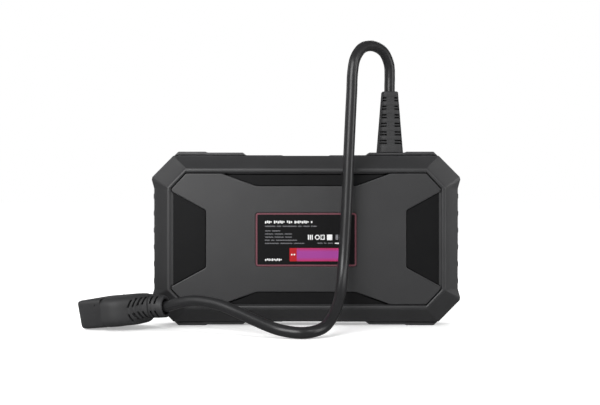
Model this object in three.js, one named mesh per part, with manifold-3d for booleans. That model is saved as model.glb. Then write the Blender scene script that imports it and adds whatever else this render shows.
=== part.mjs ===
// A handheld OBD code reader in a rubber bumper, with its lead and 16-way diagnostic plug.
// It stands on its long bottom edge: rear cover towards -Y, screen and keys towards +Y, lead on top.
// Millimetres, +Z up. The origin is under the middle of the reader, on the surface it stands on.

import * as THREE from 'three';
import { mergeVertices } from 'three/addons/utils/BufferGeometryUtils.js';
import Module from 'manifold-3d';

const wasm = await Module();
wasm.setup();

// ---------------------------------------------------------------- driving dimensions

const CASE_HALF_HEIGHT = 56.5; // middle of the reader to the face of its outer foot ridges
const CASE_HALF_DEPTH = 18; // middle of the reader to the rim of the bumper, front and rear
const SIDE_HALF_DEPTH = 10.5; // the upright part of the bumper's side, before its bevels
const FIT = 0.3; // gap between neighbouring pieces
const FAR = 20; // beyond either face of the reader, for cuts that go right through

// Depths from the middle of the reader, the same towards the front and the rear.
const WALL_DEPTH = 9.2; // end of the covers' upright walls
const SHOULDER_DEPTH = 14.8; // the covers' shoulder, under the bumper's rim
const RIM_UNDERSIDE = 15.1;
const RIM_EDGE_DEPTH = 17.3; // where the bumper's bevel meets its rounded rim
const RIDGE_HALF_DEPTH = 8;
const RIB = { half: 2.6, crestHalf: 1.3, height: 0.7, pitch: 11, halfDepth: 7.5 };

const REAR_FACE = -17.4; // outer face of the rear cover
const FRONT_FACE = 17.2; // outer face of the front cover
const FRONT_PLATE_INNER = 14.2; // inner face of the front cover's plate
const REAR_PLATE_INNER = -13.2; // inner face of the rear cover's plate

const POCKET_FLOOR = -15.1; // the rear cover's four pockets
const INSERT_FACE = -16.2; // outer face of the four dark inserts
const LABEL = { width: 64.8, height: 34.4, radius: 1.7, thickness: 0.4, z: -0.4 };
const LABEL_RECESS_FLOOR = -16.8;

const LENS = { width: 118, height: 71, radius: 4, bottom: 16.1, top: 17.1 };
const GASKET = { bottom: 15.6, top: 16.0, margin: 0.6, width: 3.4 };
const LENS_LEDGE = 15.5;
const SCREEN_WINDOW = { width: 109, height: 62 };
const DISPLAY = { width: 117, height: 68, bottom: 10.6, top: 14.0 };
const BOARD = { width: 167, height: 68, bottom: 8.6, top: 10.2 };

const KEY_TRAVEL = 0.7;
const KEY_TOP = 18;
const KEY_FLANGE = { bottom: 13.0, top: 13.9, margin: 0.7 };
const KEY_PITCH = 8.6; // arrow keys to the middle key
const KEYPAD_CENTRE = 72.5; // middle of each keypad from the middle of the reader
const SIDE_KEY_PITCH = 12;

const CASE_SCREW_HEAD = { radius: 2.8, height: 2.2 };
const CASE_SCREW_SHANK = { radius: 1.45, length: 19 };
const CASE_SCREW_SEAT = -12.5;
const CASE_SCREWS = [[-79, 22], [79, 22], [-79, -22], [79, -22], [0, 38.2], [0, -38.2]];
const SCREW_CLEARANCE = { shank: 1.8, head: 3.2 }; // radii of the covers' holes for the case screws
const BOSS = { rear: 4, front: 3.4, board: 2.6 }; // radii of the posts that the screws go through or into
const THIN_MIDDLE = { width: 118, height: 58, radius: 4, from: -15.2, to: -13 };
const BOARD_SCREWS = [[-66, 30.5], [66, 30.5], [-66, -30.5], [66, -30.5]];

const CORD_RADIUS = 3.5;
const EXIT_X = 55.1; // the lead's exit along the top edge
const EXIT_Z = 152.6; // top of the reader's strain relief above the surface
const RELIEF_BASE = { half: 8.5, z: 112.7 };
const RELIEF_TOP_HALF = 5.35;
// Slots in the relief's front and rear faces: they leave a spine in the middle and an edge at the side.
const RELIEF_SLOTS = {
	pairs: 6, first: 5.2, pitch: 5.6, step: 1.8, height: 1, spine: 2.6, edge: 0.9, depth: 3,
};
const ENTRY_RADIUS = 6.3;

const PLUG_LENGTH = 51.5;
const GRIP_END = 42.8; // the grip stops and the collar goes on
const PLUG_YAW = THREE.MathUtils.degToRad(20); // its tail turned towards -Y
const PLUG_PITCH = THREE.MathUtils.degToRad(6); // its tail lifted off the surface
const PLUG_NOSE = new THREE.Vector3(-135.8, -14.8, 9.3); // middle of the plug's open end
const SHROUD = { length: 16, wide: 20.2, narrow: 17.4, half: 9.1, radius: 3.2, wall: 1.7 };
const CARRIER = { front: 12.5, back: 15.8 };
const PIN = { front: 4.5, back: 15.6, width: 1.7, thickness: 0.8, pitch: 4, row: 3.7, gap: 0.2 };
const FILLED_PINS = [[-3, 1], [-1, 1], [0, 1], [1, 1], [2, 1], [-2, -1], [2, -1], [3, -1], [4, -1]];
const MOUTH = { radius: 4.9, depth: 4 };

// One quarter of each outline, from the top middle round to the side, as [x, z] pairs.
const OUTLINE = [[86, 53.7], [99.6, 40], [100, 38.2], [98.4, 32.5]];
const RIM_OUTER = [[77.3, 45.7], [89.2, 33.6], [89.6, 33.1], [89.7, 32.2]];
const RIM_CREST = [[77.2, 44.9], [88.8, 33.0], [88.9, 32.6], [88.9, 32.0]];
const OPENING = [[77.2, 42.5], [86.8, 32.3]];
const PLATE = [[77.0, 42.0], [86.3, 32.1]];
const SHOULDER = [[78.8, 44.4], [88.7, 33.9]];
const BODY = [[82.6, 50.2], [95.0, 37.8]];
const CAVITY_TOP = [[77.4, 41.8], [86.2, 32.5]];
const CAVITY_BODY = [[81.6, 47.8], [92.6, 36.8]];

// ---------------------------------------------------------------- materials

const rubber = material(0x2f3032, 0.62);
const coverPlastic = material(0x474849, 0.5);
const insertPlastic = material(0x202122, 0.34);
const labelFilm = material(0x17171a, 0.4);
const lensGlass = material(0x0b0d10, 0.06);
const gasketFoam = material(0x151515, 0.95);
const displayGlass = material(0x1c2a3a, 0.2);
const keyRubber = material(0x3c3e42, 0.6);
const silicone = material(0x6e7378, 0.7);
const boardLaminate = material(0x1d5a35, 0.45);
const ferrite = material(0x26262a, 0.8);
const tinnedSteel = material(0xb9bcbf, 0.3, 1);
const screwSteel = material(0x8c8f92, 0.35, 1);
const connectorNylon = material(0xd8d4c4, 0.5);
const cordJacket = material(0x2a2a2b, 0.5);
const plugMould = material(0x2f3031, 0.55);
const shroudPlastic = material(0x242526, 0.5);
const carrierPlastic = material(0x191a1b, 0.5);
const pinBrass = material(0xb5924c, 0.3, 1);

function material(color, roughness, metalness = 0) {
	return new THREE.MeshStandardMaterial({ color, roughness, metalness });
}

// ---------------------------------------------------------------- helpers

/** Turns a closed geometry into a solid that can be joined and cut. */
function solid(geometry) {
	const bare = geometry.index ? geometry.toNonIndexed() : geometry.clone();
	bare.deleteAttribute('normal');
	bare.deleteAttribute('uv');
	const merged = mergeVertices(bare, 1e-4);
	return new wasm.Manifold(new wasm.Mesh({
		numProp: 3,
		vertProperties: Float32Array.from(merged.attributes.position.array),
		triVerts: Uint32Array.from(merged.index.array),
	}));
}

/** Turns a solid back into a geometry with flat faces. */
function geometryOf(body) {
	const mesh = body.getMesh();
	const geometry = new THREE.BufferGeometry();
	geometry.setAttribute('position', new THREE.BufferAttribute(new Float32Array(mesh.vertProperties), 3));
	geometry.setIndex(Array.from(mesh.triVerts));
	geometry.computeVertexNormals();
	return geometry;
}

/** A whole closed outline from one quarter of it, going round once. */
function mirrored(quarter) {
	const back = [...quarter].reverse();
	return [
		...quarter.map(([x, z]) => [x, z]),
		...back.map(([x, z]) => [x, -z]),
		...quarter.map(([x, z]) => [-x, -z]),
		...back.map(([x, z]) => [-x, z]),
	];
}

/** A ring of points at depth y from a quarter outline in x and z. */
function ringAt(y, quarter) {
	return mirrored(quarter).map(([x, z]) => new THREE.Vector3(x, y, z));
}

/** A closed solid through rings of equal point count, capped flat at both ends. */
function loft(rings) {
	const count = rings[0].length;
	const positions = rings.flat().flatMap((p) => [p.x, p.y, p.z]);
	const index = [];
	for (let r = 0; r < rings.length - 1; r++) {
		for (let i = 0; i < count; i++) {
			const a = r * count + i;
			const b = r * count + (i + 1) % count;
			index.push(a, b, b + count, a, b + count, a + count);
		}
	}
	const last = (rings.length - 1) * count;
	for (let i = 1; i < count - 1; i++) {
		index.push(0, i + 1, i, last, last + i, last + i + 1);
	}
	if (signedVolume(positions, index) < 0) {
		index.reverse();
	}
	const geometry = new THREE.BufferGeometry();
	geometry.setAttribute('position', new THREE.Float32BufferAttribute(positions, 3));
	geometry.setIndex(index);
	return solid(geometry);
}

function signedVolume(positions, index) {
	const [a, b, c] = [new THREE.Vector3(), new THREE.Vector3(), new THREE.Vector3()];
	let volume = 0;
	for (let i = 0; i < index.length; i += 3) {
		a.fromArray(positions, index[i] * 3);
		b.fromArray(positions, index[i + 1] * 3);
		c.fromArray(positions, index[i + 2] * 3);
		volume += a.dot(b.cross(c)) / 6;
	}
	return volume;
}

/** A flat piece cut from a shape in x and z, between two depths. */
function slab(shape, y0, y1, curveSegments = 3) {
	const settings = { depth: y1 - y0, bevelEnabled: false, curveSegments };
	return solid(new THREE.ExtrudeGeometry(shape, settings).rotateX(Math.PI / 2).translate(0, y1, 0));
}

function polygon(points) {
	return new THREE.Shape(points.map(([x, y]) => new THREE.Vector2(x, y)));
}

function roundedRectangle(width, height, radius, x = 0, y = 0) {
	const shape = new THREE.Shape();
	const [left, right, low, high] = [x - width / 2, x + width / 2, y - height / 2, y + height / 2];
	shape.moveTo(left + radius, low);
	shape.lineTo(right - radius, low);
	shape.absarc(right - radius, low + radius, radius, -Math.PI / 2, 0);
	shape.lineTo(right, high - radius);
	shape.absarc(right - radius, high - radius, radius, 0, Math.PI / 2);
	shape.lineTo(left + radius, high);
	shape.absarc(left + radius, high - radius, radius, Math.PI / 2, Math.PI);
	shape.lineTo(left, low + radius);
	shape.absarc(left + radius, low + radius, radius, Math.PI, 1.5 * Math.PI);
	return shape;
}

/** A box from its lowest and highest corners. */
function block(low, high) {
	const size = high.map((value, axis) => value - low[axis]);
	const centre = high.map((value, axis) => (value + low[axis]) / 2);
	return solid(new THREE.BoxGeometry(...size).translate(...centre));
}

/** A round post or hole along Y at x, z. */
function post(x, z, radius, y0, y1, sides = 14) {
	const geometry = new THREE.CylinderGeometry(radius, radius, y1 - y0, sides);
	return solid(geometry.translate(x, (y0 + y1) / 2, z));
}

/** A round post or hole along Z at x, y. */
function upright(x, y, radius, z0, z1, sides = 20) {
	const geometry = new THREE.CylinderGeometry(radius, radius, z1 - z0, sides);
	return solid(geometry.rotateX(Math.PI / 2).translate(x, y, (z0 + z1) / 2));
}

function joined(pieces) {
	return pieces.reduce((whole, piece) => whole.add(piece));
}

function cut(body, tools) {
	return tools.reduce((left, tool) => left.subtract(tool), body);
}

function node(parent, name, body, finish) {
	const geometry = body instanceof THREE.BufferGeometry ? body : geometryOf(body);
	const mesh = new THREE.Mesh(geometry, finish);
	mesh.name = name;
	parent.add(mesh);
	return mesh;
}

// ---------------------------------------------------------------- the reader's case

/** The covers' shared outside: plate, shoulder under the bumper's rim, bevel and wall. */
function coverBody(face, side) {
	const shoulder = side * SHOULDER_DEPTH;
	const wall = side * WALL_DEPTH;
	const split = side * FIT / 2;
	const plate = loft([ringAt(face, PLATE), ringAt(shoulder, PLATE)]);
	const under = loft([ringAt(shoulder, SHOULDER), ringAt(wall, BODY), ringAt(split, BODY)]);
	return plate.add(under);
}

/** The space inside one cover, open at the split between the two. */
function coverCavity(inner, side) {
	const wall = side * WALL_DEPTH;
	return loft([ringAt(inner, CAVITY_TOP), ringAt(wall, CAVITY_BODY), ringAt(-side, CAVITY_BODY)]);
}

/** The hole for the lead's neck, through whatever lies across it at the top edge. */
function entryHole() {
	return upright(EXIT_X, 0, ENTRY_RADIUS, 46, 58);
}

/** The outlines of the rear cover's four pockets, or of the inserts in them: a trapezium each, its long
 * side out at the plate's edge. `gap` draws the slanted and inner sides in, and `reach` moves the outer
 * side. */
function pocketOutlines(gap, reach) {
	const side = { inner: 64.2, half: 18.4, spread: 0.5475, outer: 86.3 };
	const top = { inner: 33.9, half: 31.9, spread: 2.778, outer: 42 };
	const trapezium = ({ inner, half, spread, outer }) => {
		const shrink = gap * Math.hypot(1, spread);
		const widthAt = (out) => half + spread * (out - inner) - shrink;
		return [[inner + gap, widthAt(inner + gap)], [outer + reach, widthAt(outer + reach)]];
	};
	const [[sideIn, sideInHalf], [sideOut, sideOutHalf]] = trapezium(side);
	const [[topIn, topInHalf], [topOut, topOutHalf]] = trapezium(top);
	return {
		left: [[-sideOut, -sideOutHalf], [-sideIn, -sideInHalf], [-sideIn, sideInHalf], [-sideOut, sideOutHalf]],
		right: [[sideIn, -sideInHalf], [sideOut, -sideOutHalf], [sideOut, sideOutHalf], [sideIn, sideInHalf]],
		top: [[-topInHalf, topIn], [topInHalf, topIn], [topOutHalf, topOut], [-topOutHalf, topOut]],
		bottom: [[-topOutHalf, -topOut], [topOutHalf, -topOut], [topInHalf, -topIn], [-topInHalf, -topIn]],
	};
}

/** The bumper's ridge along its top edge: an outer foot, a lower step and a faint step inside it. */
function ridgeProfile() {
	const base = 51.6;
	const half = [[0, 53.7], [14.6, 53.7], [15.6, 54.2], [38.9, 54.2], [41, 55.9], [64.2, 55.9],
		[65.2, 56.5], [83.1, 56.5], [86, 53.4], [86, base]];
	const other = [...half].reverse().map(([x, z]) => [-x, z]).slice(0, -1);
	return polygon([...half, ...other]);
}

function makeBumper(parent) {
	const outside = loft([
		ringAt(-CASE_HALF_DEPTH, RIM_CREST),
		ringAt(-RIM_EDGE_DEPTH, RIM_OUTER),
		ringAt(-SIDE_HALF_DEPTH, OUTLINE),
		ringAt(SIDE_HALF_DEPTH, OUTLINE),
		ringAt(RIM_EDGE_DEPTH, RIM_OUTER),
		ringAt(CASE_HALF_DEPTH, RIM_CREST),
	]);
	const ridge = slab(ridgeProfile(), -RIDGE_HALF_DEPTH, RIDGE_HALF_DEPTH);
	const ribs = [];
	const wallX = OUTLINE[3][0];
	const crestX = wallX + RIB.height;
	const rootX = wallX - RIB.height;
	for (const side of [-1, 1]) {
		for (let i = -2.5; i <= 2.5; i++) {
			const upper = [[crestX, RIB.crestHalf], [rootX, RIB.half]];
			const corners = [[rootX, -RIB.half], [crestX, -RIB.crestHalf], ...upper];
			const rib = polygon(corners.map(([x, z]) => [side * x, side * z + RIB.pitch * i]));
			ribs.push(slab(rib, -RIB.halfDepth, RIB.halfDepth));
		}
	}
	const grown = (quarter, by) => quarter.map(([x, z]) => [x + by, z + by]);
	const inside = joined([
		loft([ringAt(-FAR, OPENING), ringAt(FAR, OPENING)]),
		loft([
			ringAt(-RIM_UNDERSIDE, grown(SHOULDER, FIT)),
			ringAt(-WALL_DEPTH, grown(BODY, FIT)),
			ringAt(WALL_DEPTH, grown(BODY, FIT)),
			ringAt(RIM_UNDERSIDE, grown(SHOULDER, FIT)),
		]),
	]);
	const whole = joined([outside, ridge, ridge.mirror([0, 0, 1]), ...ribs]);
	node(parent, 'bumper_boot', cut(whole, [inside, entryHole()]), rubber);
}

function makeRearCover(parent) {
	const bosses = CASE_SCREWS.map(([x, z]) => post(x, z, BOSS.rear, REAR_PLATE_INNER - FIT, -FIT / 2));
	const pockets = Object.values(pocketOutlines(0, 1))
		.map((outline) => slab(polygon(outline), -FAR, POCKET_FLOOR));
	const shaftHoles = CASE_SCREWS.map(([x, z]) => post(x, z, SCREW_CLEARANCE.shank, -FAR, 1));
	const headHoles = CASE_SCREWS.map(([x, z]) => post(x, z, SCREW_CLEARANCE.head, -FAR, CASE_SCREW_SEAT));
	const [recessWidth, recessHeight] = [LABEL.width + 2 * FIT, LABEL.height + 2 * FIT];
	const labelShape = roundedRectangle(recessWidth, recessHeight, LABEL.radius + FIT, 0, LABEL.z);
	const labelRecess = slab(labelShape, -FAR, LABEL_RECESS_FLOOR);
	const thinShape = roundedRectangle(THIN_MIDDLE.width, THIN_MIDDLE.height, THIN_MIDDLE.radius);
	const thinMiddle = slab(thinShape, THIN_MIDDLE.from, THIN_MIDDLE.to);
	const shell = coverBody(REAR_FACE, -1).subtract(coverCavity(REAR_PLATE_INNER, -1));
	const body = shell.subtract(thinMiddle).add(joined(bosses));
	const tools = [...pockets, labelRecess, ...shaftHoles, ...headHoles, entryHole()];
	node(parent, 'rear_cover', cut(body, tools), coverPlastic);
}

function makeInserts(parent) {
	for (const [place, outline] of Object.entries(pocketOutlines(0.25, -0.25))) {
		const piece = slab(polygon(outline), INSERT_FACE, POCKET_FLOOR - 0.2);
		node(parent, `rear_insert_${place}`, piece, insertPlastic);
	}
}

function makeLabel(parent) {
	const bottom = LABEL_RECESS_FLOOR - 0.1;
	const shape = roundedRectangle(LABEL.width, LABEL.height, LABEL.radius, 0, LABEL.z);
	node(parent, 'rating_label', slab(shape, bottom - LABEL.thickness, bottom), labelFilm);
}

// ---------------------------------------------------------------- screen and keys

/** Name, place and size of each key, and whether its cap is round. */
function keyLayout() {
	const x = -KEYPAD_CENTRE;
	const arrow = { width: 7, height: 7, radius: 1.4 };
	const bar = { width: 13, height: 7.4, radius: 2.2 };
	return [
		{ name: 'key_up', x, z: KEY_PITCH, ...arrow },
		{ name: 'key_down', x, z: -KEY_PITCH, ...arrow },
		{ name: 'key_left', x: x + KEY_PITCH, z: 0, ...arrow },
		{ name: 'key_right', x: x - KEY_PITCH, z: 0, ...arrow },
		{ name: 'key_ok', x, z: 0, ...arrow, radius: 3.4 },
		{ name: 'key_power', x: KEYPAD_CENTRE, z: SIDE_KEY_PITCH, ...bar },
		{ name: 'key_menu', x: KEYPAD_CENTRE, z: 0, ...bar },
		{ name: 'key_back', x: KEYPAD_CENTRE, z: -SIDE_KEY_PITCH, ...bar },
	];
}

function makeFrontCover(parent) {
	const shell = coverBody(FRONT_FACE, 1).subtract(coverCavity(FRONT_PLATE_INNER, 1));
	const postEnd = FRONT_PLATE_INNER + 0.2;
	const bosses = CASE_SCREWS.map(([x, z]) => post(x, z, BOSS.front, FIT / 2, postEnd));
	const screwHoles = CASE_SCREWS.map(([x, z]) => post(x, z, SCREW_CLEARANCE.shank, -1, 8));
	const boardPosts = BOARD_SCREWS.map(([x, z]) => post(x, z, BOSS.board, BOARD.top + 0.2, postEnd));
	const boardHoles = BOARD_SCREWS.map(([x, z]) => post(x, z, 1.2, BOARD.top - 1, 13.6, 10));
	const lensShape = roundedRectangle(LENS.width + 0.5, LENS.height + 0.5, LENS.radius);
	const lensRecess = slab(lensShape, LENS_LEDGE, FAR);
	const windowShape = roundedRectangle(SCREEN_WINDOW.width, SCREEN_WINDOW.height, 1.5);
	const screenWindow = slab(windowShape, FRONT_PLATE_INNER - 2, FAR);
	const keyHoles = keyLayout().map((key) => {
		const shape = roundedRectangle(key.width + 0.6, key.height + 0.6, key.radius + 0.3, key.x, key.z);
		return slab(shape, FRONT_PLATE_INNER - 2, FAR, 2);
	});
	const body = shell.add(joined([...bosses, ...boardPosts]));
	const tools = [...screwHoles, ...boardHoles, lensRecess, screenWindow, ...keyHoles, entryHole()];
	node(parent, 'front_cover', cut(body, tools), coverPlastic);
}

function makeScreen(parent) {
	const lens = slab(roundedRectangle(LENS.width, LENS.height, LENS.radius), LENS.bottom, LENS.top);
	node(parent, 'screen_lens', lens, lensGlass);

	const width = LENS.width - 2 * GASKET.margin;
	const height = LENS.height - 2 * GASKET.margin;
	const outer = slab(roundedRectangle(width, height, 3.4), GASKET.bottom, GASKET.top);
	const holeShape = roundedRectangle(width - 2 * GASKET.width, height - 2 * GASKET.width, 1);
	node(parent, 'lens_gasket', outer.subtract(slab(holeShape, DISPLAY.bottom, FAR)), gasketFoam);

	const panel = slab(roundedRectangle(DISPLAY.width, DISPLAY.height, 1), DISPLAY.bottom, DISPLAY.top, 2);
	node(parent, 'display_panel', panel, displayGlass);
}

function makeKeys(parent) {
	for (const key of keyLayout()) {
		const cap = slab(roundedRectangle(key.width, key.height, key.radius, key.x, key.z), 13.5, KEY_TOP, 3);
		const wide = key.width + 2 * KEY_FLANGE.margin;
		const tall = key.height + 2 * KEY_FLANGE.margin;
		const flangeShape = roundedRectangle(wide, tall, 1, key.x, key.z);
		const flange = slab(flangeShape, KEY_FLANGE.bottom, KEY_FLANGE.top, 1);
		node(parent, key.name, cap.add(flange), keyRubber);
	}
}

/** A silicone sheet on the board with one dome under each key, clear of the key's travel. */
function makeKeypads(parent) {
	const domeTop = KEY_FLANGE.bottom - KEY_TRAVEL - FIT;
	const sheetBottom = BOARD.top + 0.2;
	for (const [name, side, width] of [['keypad_mat_arrows', -1, 24], ['keypad_mat_side', 1, 18]]) {
		const centre = side * (KEYPAD_CENTRE - 0.4);
		const sheet = slab(roundedRectangle(width, 35, 2, centre), sheetBottom, sheetBottom + 0.8);
		const domes = keyLayout().filter((key) => key.x * side > 0)
			.map((key) => post(key.x, key.z, 2.4, sheetBottom + 0.5, domeTop, 8));
		node(parent, name, joined([sheet, ...domes]), silicone);
	}
}

// ---------------------------------------------------------------- inside

function makeBoard(parent) {
	const sheet = slab(roundedRectangle(BOARD.width, BOARD.height, 2), BOARD.bottom, BOARD.top);
	const notches = CASE_SCREWS.filter(([x]) => x !== 0).map(([x, z]) => {
		const [low, high] = x > 0 ? [x - 3.8, 90] : [-90, x + 3.8];
		return block([low, 5, z - 3.8], [high, 12, z + 3.8]);
	});
	const holes = BOARD_SCREWS.map(([x, z]) => post(x, z, 1.3, 5, 12, 10));
	node(parent, 'main_board', cut(sheet, [...notches, ...holes]), boardLaminate);

	const under = BOARD.bottom - 0.15;
	const shield = block([-24, under - 3.2, -14], [18, under, 18]);
	const shieldInside = block([-23.6, under - 2.8, -13.6], [17.6, 12, 17.6]);
	node(parent, 'processor_shield', shield.subtract(shieldInside), tinnedSteel);
	const buzzer = post(-45, -20, 6, under - 4.5, under);
	const soundHole = post(-45, -20, 1.2, 0, 4.6, 8);
	node(parent, 'buzzer', buzzer.subtract(soundHole), connectorNylon);
	const header = block([47, under - 5.6, 22], [61, under, 30]);
	const headerMouth = block([48.2, under - 4.4, 25], [59.8, under - 1.2, 31]);
	node(parent, 'board_header', header.subtract(headerMouth), connectorNylon);
	node(parent, 'power_coil', block([24, under - 4.2, -26], [34, under, -16]), ferrite);
}

function makeScrews(parent) {
	CASE_SCREWS.forEach(([x, z], i) => {
		const head = post(x, z, CASE_SCREW_HEAD.radius, CASE_SCREW_SEAT - FIT - CASE_SCREW_HEAD.height,
			CASE_SCREW_SEAT - FIT);
		const shank = post(x, z, CASE_SCREW_SHANK.radius, CASE_SCREW_SEAT - 1,
			CASE_SCREW_SEAT + CASE_SCREW_SHANK.length, 10);
		const slot = CASE_SCREW_SEAT - FIT - CASE_SCREW_HEAD.height;
		const drive = joined([
			block([x - 1.5, slot - 1, z - 0.35], [x + 1.5, slot + 1, z + 0.35]),
			block([x - 0.35, slot - 1, z - 1.5], [x + 0.35, slot + 1, z + 1.5]),
		]);
		node(parent, `case_screw_${i + 1}`, head.add(shank).subtract(drive), screwSteel);
	});
	BOARD_SCREWS.forEach(([x, z], i) => {
		const seat = BOARD.bottom - 0.2;
		const head = post(x, z, 2.1, seat - 1.3, seat, 12);
		const shank = post(x, z, 0.95, seat - 0.5, 13.2, 8);
		const drive = block([x - 1.2, seat - 2, z - 0.3], [x + 1.2, seat - 0.8, z + 0.3]);
		node(parent, `board_screw_${i + 1}`, head.add(shank).subtract(drive), screwSteel);
	});
}

// ---------------------------------------------------------------- strain relief and lead

/** A rounded square or rectangle as a ring of points, from a superellipse. */
function superRing(halfWidth, halfHeight, exponent, count, place) {
	return Array.from({ length: count }, (_, i) => {
		const angle = (i + 0.5) / count * 2 * Math.PI;
		const [c, s] = [Math.cos(angle), Math.sin(angle)];
		const u = Math.sign(c) * Math.abs(c) ** (2 / exponent) * halfWidth;
		const v = Math.sign(s) * Math.abs(s) ** (2 / exponent) * halfHeight;
		return place(u, v);
	});
}

/** The moulded relief: a flange and a neck held by the covers, and a slotted cone outside. */
function makeStrainRelief(parent) {
	const middle = CASE_HALF_HEIGHT;
	const section = (half, z, exponent = 4) =>
		superRing(half, half, exponent, 16, (u, v) => new THREE.Vector3(EXIT_X + u, v, z));
	const cone = loft([
		section(RELIEF_BASE.half, RELIEF_BASE.z),
		section(RELIEF_TOP_HALF + 0.1, EXIT_Z - 1.2),
		section(RELIEF_TOP_HALF - 0.6, EXIT_Z),
	]);
	const { pairs, first, pitch, step, height, spine, edge, depth } = RELIEF_SLOTS;
	const narrowing = (RELIEF_BASE.half - RELIEF_TOP_HALF) / (EXIT_Z - RELIEF_BASE.z);
	const slots = [];
	for (let i = 0; i < 2 * pairs; i++) {
		const rise = first + Math.floor(i / 2) * pitch + (i % 2) * step;
		const half = RELIEF_BASE.half - narrowing * rise;
		const z = RELIEF_BASE.z + rise;
		for (const side of [-1, 1]) {
			const [left, right] = [side * spine, side * (half - edge)].sort((p, q) => p - q);
			const [near, far] = [half - depth, 2 * half];
			slots.push(block([EXIT_X + left, -far, z], [EXIT_X + right, -near, z + height]));
			slots.push(block([EXIT_X + left, near, z], [EXIT_X + right, far, z + height]));
		}
	}
	const neck = upright(EXIT_X, 0, ENTRY_RADIUS - FIT, middle + 45.5, RELIEF_BASE.z + 1);
	const flange = upright(EXIT_X, 0, 8.6, middle + 44.4, middle + 47.4);
	node(parent, 'strain_relief', joined([cut(cone, slots), neck, flange]), plugMould);
}

/** A tube of many-sided section along a smooth curve. */
function tube(curve, radius, sides, steps) {
	const corners = Array.from({ length: sides }, (_, i) => {
		const angle = i / sides * 2 * Math.PI;
		return [radius * Math.cos(angle), radius * Math.sin(angle)];
	});
	const settings = { steps, bevelEnabled: false, extrudePath: curve };
	return new THREE.ExtrudeGeometry(polygon(corners), settings);
}

/** The free lead's route, from the strain relief over and down to the surface and to the plug. */
const CORD_ROUTE = [
	[55.1, 0, 152.9], [55.1, 0, 157.5], [55.2, -0.1, 162.4], [54.6, -1.5, 170.6], [50.6, -6.3, 178.0],
	[43.0, -14.0, 180.8], [35.7, -21.3, 178.2], [31.0, -26.6, 170.9], [29.3, -28.6, 162.0],
	[28.7, -29.0, 149.5], [28.1, -29.1, 138.0], [26.9, -29.1, 111.7], [25.3, -29.2, 75.2],
	[23.2, -31.4, 41.3], [21.4, -38.6, 25.4], [18.7, -47.4, 16.6], [14.4, -58.0, 9.4],
	[8.6, -67.6, 5.2], [-1.6, -73.6, 3.65], [-15.6, -70.4, 4.9], [-30.8, -60.6, 9.4],
	[-40.4, -54.2, 13.0], [-54.5, -46.6, 17.6], [-70.0, -39.6, 19.0], [-79.5, -35.9, 17.2],
];

function plugPoint(x, y, z) {
	const turned = new THREE.Vector3(x, y, z)
		.applyAxisAngle(new THREE.Vector3(0, 1, 0), -PLUG_PITCH)
		.applyAxisAngle(new THREE.Vector3(0, 0, 1), -PLUG_YAW);
	return turned.add(PLUG_NOSE);
}

function makeCord(parent) {
	const end = plugPoint(PLUG_LENGTH - MOUTH.depth + FIT, 0, 0);
	const beforeEnd = plugPoint(PLUG_LENGTH - MOUTH.depth + 4, 0, 0);
	const points = [...CORD_ROUTE.map((p) => new THREE.Vector3(...p)), beforeEnd, end];
	const curve = new THREE.CatmullRomCurve3(points, false, 'centripetal');
	node(parent, 'cord', tube(curve, CORD_RADIUS, 8, 44), cordJacket);

	const inner = new THREE.CatmullRomCurve3([
		new THREE.Vector3(EXIT_X, 0, 100.6), new THREE.Vector3(EXIT_X, 0.2, 97.6),
		new THREE.Vector3(54.6, 3, 93.5), new THREE.Vector3(54, 5.6, 89.6), new THREE.Vector3(54, 5.65, 86.9),
	]);
	node(parent, 'inner_lead', tube(inner, 2.4, 8, 6), cordJacket);
}

// ---------------------------------------------------------------- diagnostic plug

/** The D outline of the plug's shroud in y and z: its lower side is the narrow one. */
function shroudShape(inset) {
	const { wide, narrow, half, radius } = SHROUD;
	const corners = [[wide - inset, half - inset], [-wide + inset, half - inset],
		[-narrow + inset, -half + inset], [narrow - inset, -half + inset]]
		.map(([y, z]) => new THREE.Vector2(y, z));
	const shape = new THREE.Shape();
	corners.forEach((corner, i) => {
		const before = corners[(i + 3) % 4];
		const after = corners[(i + 1) % 4];
		const reach = radius - inset / 2;
		const start = corner.clone().add(before.clone().sub(corner).setLength(reach));
		const finish = corner.clone().add(after.clone().sub(corner).setLength(reach));
		if (i === 0) {
			shape.moveTo(start.x, start.y);
		} else {
			shape.lineTo(start.x, start.y);
		}
		shape.quadraticCurveTo(corner.x, corner.y, finish.x, finish.y);
	});
	return shape;
}

/** A piece of the shroud's section between two places along the plug. */
function shroudPiece(inset, x0, x1) {
	const settings = { depth: x1 - x0, bevelEnabled: false, curveSegments: 4 };
	const geometry = new THREE.ExtrudeGeometry(shroudShape(inset), settings);
	const basis = new THREE.Matrix4().makeBasis(
		new THREE.Vector3(0, 1, 0), new THREE.Vector3(0, 0, 1), new THREE.Vector3(1, 0, 0));
	return solid(geometry.applyMatrix4(basis).translate(x0, 0, 0));
}

function pinBox(column, row, grow, x0, x1) {
	const y = (column - 0.5) * PIN.pitch;
	const z = row * PIN.row;
	const [halfWidth, halfThickness] = [PIN.width / 2 + grow, PIN.thickness / 2 + grow];
	return block([x0, y - halfWidth, z - halfThickness], [x1, y + halfWidth, z + halfThickness]);
}

/** A ring of the moulded grip or its collar, its middle lifted above the plug's own. */
function gripRing(x, halfWidth, halfHeight, exponent, lift = 0) {
	const place = (u, v) => new THREE.Vector3(x, u, v + lift);
	return superRing(halfWidth, halfHeight, exponent, 24, place);
}

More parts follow.
